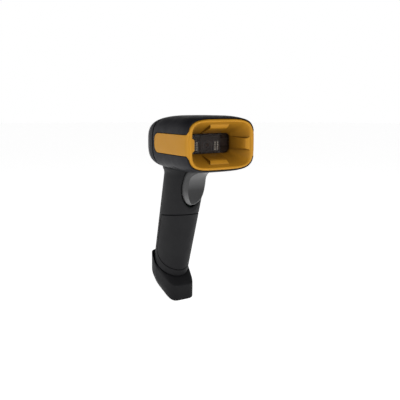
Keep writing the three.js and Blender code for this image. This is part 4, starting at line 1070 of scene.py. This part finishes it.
def grip_body():
    r = 0.35
    outer = [grip_ring(along, lean) for along, lean in grip_levels(-4, COLLAR_LINE - 2 * r, 96)]
    collar = [
        grip_ring(COLLAR_LINE - r, -COLLAR_SLOPE), grip_ring(COLLAR_LINE - 0.3 * r, -COLLAR_SLOPE, -0.3 * r),
        grip_ring(COLLAR_LINE, -COLLAR_SLOPE, -r), grip_ring(COLLAR_LINE, -COLLAR_SLOPE, -PLUG_INSET),
        grip_ring(GRIP_END, 0, -PLUG_INSET),
    ]
    bay = COLLAR_LINE - 8
    plug_wall = -WALL - PLUG_INSET
    inner = [grip_ring(99, 0, plug_wall), grip_ring(bay, 0, plug_wall), grip_ring(bay, 0, -WALL)]
    inner += [grip_ring(along, lean, -WALL) for along, lean in grip_levels(bay - 8, -4, 24)]
    body = loft("grip", inner + outer + collar)
    edge = GAP / 2
    rim = [(edge, -6), (edge, -0.7), (edge + 0.12, -0.3), (edge + 0.5, 0), (edge + 0.9, 0.2), (1.2, 2)]
    cutters = [trigger_well(), slab("door_way", door_outline(), grip_surface, rim, rows=30)]
    cutters.append(head_block("head_room", -4, HEAD_REAR, GAP))
    cutters += [floor_screw_rod(node, SCREW_WAY, 97.0, 103.0) for node in FLOOR_SCREWS]
    return finished(combine(body, cutters), "grip_body")


def battery_door():
    thick = WALL - 0.4
    rim = [(-GAP / 2 - 0.1, -thick), (-GAP / 2, -thick + 0.1), (-GAP / 2, -0.7),
           (-GAP / 2 - 0.14, -0.3), (-GAP / 2 - 0.5, 0)]
    door = slab("door", door_outline(), grip_surface, rim, rows=60)
    tongue_plane = plane(on_grip(0.0, 11.5, 91.4), (1, 0, 0), FORWARD)
    tongue = plate("tongue", rounded_rectangle(5, 6.5, 1.0), tongue_plane, 1.8, 0.2)
    slot_plane = plane(on_grip(0.0, 4.0, 90.0), (1, 0, 0), FORWARD)
    notch = plate("notch", rounded_rectangle(1.5, 5.5, 1.45), slot_plane, 6.0, 0.02)
    combine(tongue, [notch])
    combine(door, [tongue], "UNION")
    return finished(door, "battery_door")


def trigger_face(along):
    up = np.maximum(0, 7 - along)
    middle = 0.9 * np.exp(-(((along - 22) / 6) ** 2))
    tail = np.maximum(0, along - 25)
    return TRIGGER_FRONT + 0.065 * up * up + middle - 0.045 * tail * tail


def trigger():
    def surface(uv, rise):
        x, along = uv[:, 0], uv[:, 1]
        hollow = 0.45 * clamp01(1 - (x / 8.5) ** 2)
        forward = np.maximum(trigger_face(along) + rise - (hollow if rise > -0.05 else 0), TRIGGER_BACK)
        return on_grip(x, forward, along)

    outline = trigger_outline()
    levels = [(0, -60), (0, -3.1), (-0.12, -2.6), (-0.5, -1.9), (-1.2, -1.0), (-1.9, -0.25),
              (-2.15, -0.08), (-2.45, -0.04), (-3.2, -0.02)]
    body = slab("trigger", outline, surface, levels, rows=40)
    cutters = [head_block("head_room", -4, HEAD_REAR, 0.7)]
    middle = middle_of("trigger_pin")
    cutters.append(rod("pin_way", 1.3, middle - [20, 0, 0], middle + [20, 0, 0]))
    combine(body, cutters)
    post = rod("post", 1.6, on_grip(0.0, 9.5, 10.0), on_grip(0.0, TRIGGER_BACK + 1, 10.0))
    return finished(combine(body, [post], "UNION"), "trigger")


# ---------------------------------------------------------------- foot
FOOT_ANGLES = even_angles(AROUND, 14.0, 21.0, 3.0)
SOLE = (12.6, 12.4, 58.9, 100.5)     # half-width at toe and heel, front and back end
FLANK = (12.0, 15.8, 58.3, 101.8)
RIDGE = (11.4, 16.6, 57.8, 99.8)


def underside(y):
    return TOE_Z + (y - TOE_Y) * math.tan(FOOT_TILT)


def foot_plan(level, inset=0.0):
    toe, heel, front, back = level
    power = np.where(np.sin(FOOT_ANGLES) < 0, 5.0, 2.8)
    across, behind = super_point(FOOT_ANGLES, 1.0, 1.0, power)
    half_width = lerp(toe, heel, clamp01((behind + 1) / 1.1)) - inset
    return across * half_width, (back + front) / 2 + behind * ((back - front) / 2 - inset)


def ridge_height(y):
    t = y - TOE_Y
    rise = TOE_Z + 14.5 + 0.36 * t + 0.0136 * t * t
    soft = 1.2
    return -soft * np.logaddexp(-rise / soft, -SPUR_TOP / soft)


def filleted(columns, radii, steps=6):
    """Rounds each corner of every column's chain of points with a short curve."""
    chain = [columns[0]]
    for k in range(1, len(columns) - 1):
        before, corner, after = columns[k - 1], columns[k], columns[k + 1]
        to_before, to_after = before - corner, after - corner
        near = np.linalg.norm(to_before, axis=1, keepdims=True)
        far = np.linalg.norm(to_after, axis=1, keepdims=True)
        start = corner + to_before / near * np.minimum(radii[k], 0.45 * near)
        end = corner + to_after / far * np.minimum(radii[k], 0.45 * far)
        for t in np.linspace(0, 1, steps):
            chain.append((1 - t) ** 2 * start + 2 * (1 - t) * t * corner + t * t * end)
    chain.append(columns[-1])
    return chain


def foot():
    def level(plan, height, inset=0.0):
        x, y = foot_plan(plan, inset)
        return np.stack([x, y, height(y)], 1)

    def socket(spread, along, slope=0.0):
        half_width, half_depth = grip_half(GRIP_END)
        forward = -(half_depth + spread) * np.sin(FOOT_ANGLES)
        return on_grip((half_width + spread) * np.cos(FOOT_ANGLES), forward, along + slope * forward)

    def collar(spread):
        return socket(spread, COLLAR_LINE + 0.5, COLLAR_SLOPE)

    flank = level(FLANK, lambda y: np.minimum(underside(y) + 8.0, ridge_height(y) - 2))
    chain = [
        level(SOLE, underside, 4.0), level(SOLE, underside), flank, level(RIDGE, ridge_height),
        collar(0.6), collar(-PLUG_INSET + GAP), socket(-PLUG_INSET + GAP, GRIP_END + GAP),
    ]
    radii = [0, 1.1, 2.4, 1.3, 0.45, 0.3, 0]
    rings = filleted(chain, radii)
    body = loft("foot", [lerp(rings[0], rings[0].mean(0), 0.5)] + rings)
    pocket_top = on_grip(12.2 * np.cos(FOOT_ANGLES), -15.2 * np.sin(FOOT_ANGLES), GRIP_END - 1.0)
    along_grip = (pocket_top @ [0, -math.tan(FOOT_TILT), 1]) - (TOE_Z + 3.0 - TOE_Y * math.tan(FOOT_TILT))
    drop = along_grip / (math.cos(TILT) + math.tan(FOOT_TILT) * math.sin(TILT))
    pocket = loft("pocket", [pocket_top, pocket_top + drop[:, None] * DOWN])
    bosses = [floor_screw_rod(node, BOSS_RADIUS, GRIP_END + GAP, 120.0) for node in FLOOR_SCREWS]
    bosses = [combine(boss, [twin(body)], "INTERSECT") for boss in bosses]
    combine(body, [pocket])
    combine(body, bosses, "UNION")
    cutters = []
    for node in FLOOR_SCREWS:
        cutters.append(floor_screw_rod(node, SCREW_WAY, 101.0, 130.0))
        cutters.append(floor_screw_rod(node, 2.5, 111.0, 130.0))
    for number in range(1, 5):
        x = middle_of(f"charge_contact_{number}")[0]
        outline = rounded_rectangle(1.1 + GAP, 1.7 + GAP, 0.7)
        base = plane((x, CONTACT_Y, underside(CONTACT_Y) + 8), (1, 0, 0), (0, -1, 0))
        cutters.append(plate("contact_way", outline, base, 12, 0.02))
    return finished(combine(body, cutters), "foot")


def charge_contacts():
    for number in range(1, 5):
        node = f"charge_contact_{number}"
        low, high = local_box(node)
        half = half_size(node)
        x, y, _ = middle_of(node)
        surface = plane((x, y, high[2]), (1, 0, 0), (0, -1, 0))
        outline = rounded_rectangle(half[0], half[1], 0.6)
        finished(plate("contact", outline, surface, high[2] - low[2], 0.25), node)


# ---------------------------------------------------------------- fasteners
def screw(node, start, direction, length):
    """Pan-head screw with a cross recess, from the top of its head along its shank."""
    profile = [
        (1e-3, 0), (1.5, 0), (1.85, 0.08), (2.1, 0.3), (2.2, 0.6), (2.2, 1.45), (2.05, 1.6),
        (1.2, 1.6),
    ]
    pitch = 0.5
    turns = int((length - 3.2) / pitch)
    for k in range(turns):
        at = 2.0 + k * pitch
        profile += [(1.0, at), (1.2, at + pitch / 2)]
    profile += [(1.0, length - 0.8), (0.5, length), (1e-3, length)]
    body = turned("screw", profile, start, direction, 32)
    axis = Vector(direction).normalized()
    side = axis.orthogonal().normalized()
    other = axis.cross(side)
    for u, v in ((side, other), (other, -side)):
        base = np.array(start) - 0.5 * np.array(axis)
        flat = plane(base, u, v)
        notch = plate("notch", rounded_rectangle(1.35, 0.28, 0.12), flat, 1.5, 0.02)
        combine(body, [notch])
    return finished(body, node)


def screws():
    for number in range(1, 5):
        node = f"cap_screw_{number}"
        low, high = local_box(node)
        x, _, z = middle_of(node)
        screw(node, (x, high[1], z), (0, -1, 0), high[1] - low[1])
    for node, tip in zip(FLOOR_SCREWS, (98.0, 98.0, 91.8)):
        top = on_grip(middle_of(node)[0], FLOOR_SCREW_FORWARD, FLOOR_SCREW_HEAD)
        screw(node, top, -DOWN, FLOOR_SCREW_HEAD - tip)


def battery():
    """Wrapped cell with rounded shoulders."""
    outline = rounded_rectangle(CELL_HALF_WIDTH, CELL_HALF_DEPTH, 5.0)
    surface = plane(on_grip(0.0, 0.6, CELL_END), (1, 0, 0), -FORWARD)
    cell = plate("cell", outline, surface, CELL_LENGTH, 1.0, rows=10)
    return finished(cell, "battery_pack")


def plain_nodes():
    """Inner parts whose CAD shape is already right take their material."""
    for name, node in frame["nodes"].items():
        if node.hide_render:
            continue
        if not node.material_slots:
            node.data.materials.append(None)
        for slot in node.material_slots:
            slot.link = "OBJECT"
            slot.material = MATERIALS[SLOTS[name]]


# ---------------------------------------------------------------- stage, light and camera
AZIMUTH = math.radians(-32)
ELEVATION = math.radians(9.5)
NOSE_OFFSET = (16.3, 43.3)           # how far right and up of the view axis the nose centre lies
NOSE_DISTANCE = 433.5


def view_axes():
    back = Vector((
        math.sin(AZIMUTH) * math.cos(ELEVATION),
        -math.cos(AZIMUTH) * math.cos(ELEVATION),
        math.sin(ELEVATION),
    ))
    right = Vector((0, 0, 1)).cross(back).normalized()
    return right, back.cross(right), back


def camera():
    right, up, back = view_axes()
    place = Vector(NOSE) + NOSE_DISTANCE * back - NOSE_OFFSET[0] * right - NOSE_OFFSET[1] * up
    data = bpy.data.cameras.new("camera")
    data.lens = 50
    data.sensor_width = 36
    obj = bpy.data.objects.new("camera", data)
    turn = Matrix((right, up, back)).transposed().to_4x4()
    obj.matrix_world = Matrix.Translation(place / MM) @ turn
    bpy.context.scene.collection.objects.link(obj)
    bpy.context.scene.camera = obj


def area_light(name, place, target, size, power, colour=(1, 1, 1)):
    data = bpy.data.lights.new(name, "AREA")
    data.shape = "DISK"
    data.size = size
    data.energy = power
    data.color = colour
    obj = bpy.data.objects.new(name, data)
    obj.location = place
    obj.rotation_euler = (Vector(target) - Vector(place)).to_track_quat("-Z", "Y").to_euler()
    bpy.context.scene.collection.objects.link(obj)


def studio():
    low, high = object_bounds()
    middle = (low + high) / 2
    floor_level = low.z - 0.0002
    bpy.ops.mesh.primitive_circle_add(vertices=96, radius=6, fill_type="NGON", location=(0, 0, floor_level))
    floor = bpy.context.object
    floor.name = "floor"
    shader = Shader("floor_paper", Roughness=0.9, Specular_IOR_Level=0.0, Emission_Strength=0.86)
    shader.colour(shader.mix(shader.noise(6.0), (0.9, 0.9, 0.9), (0.92, 0.92, 0.92)))
    shader.surface.inputs["Emission Color"].default_value = (1, 1, 1, 1)
    floor.data.materials.append(shader.material)
    floor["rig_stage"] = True
    world = bpy.data.worlds.new("studio")
    world.use_nodes = True
    nodes, links = world.node_tree.nodes, world.node_tree.links
    height = nodes.new("ShaderNodeSeparateXYZ")
    links.new(nodes.new("ShaderNodeTexCoord").outputs["Generated"], height.inputs[0])
    shade = nodes.new("ShaderNodeMapRange")
    links.new(height.outputs["Z"], shade.inputs["Value"])
    for name, value in (("From Min", 0.19), ("From Max", 0.42), ("To Min", 1.0), ("To Max", 0.04)):
        shade.inputs[name].default_value = value
    links.new(shade.outputs["Result"], nodes["Background"].inputs["Strength"])
    nodes["Background"].inputs["Color"].default_value = (1, 1, 1, 1)
    bpy.context.scene.world = world
    bpy.context.scene.view_settings.view_transform = "Standard"
    area_light("key", middle + Vector((-0.8, -0.1, 0.2)), middle, 0.45, 1.6)
    area_light("front", middle + Vector((0.0, -0.65, 0.34)), middle + Vector((0, 0, 0.03)), 0.4, 2.0)


camera()
head_housing()
rear_cap()
status_light()
bezel()
window_parts()
engine()
grip_body()
battery_door()
trigger()
foot()
charge_contacts()
screws()
battery()
plain_nodes()
studio()
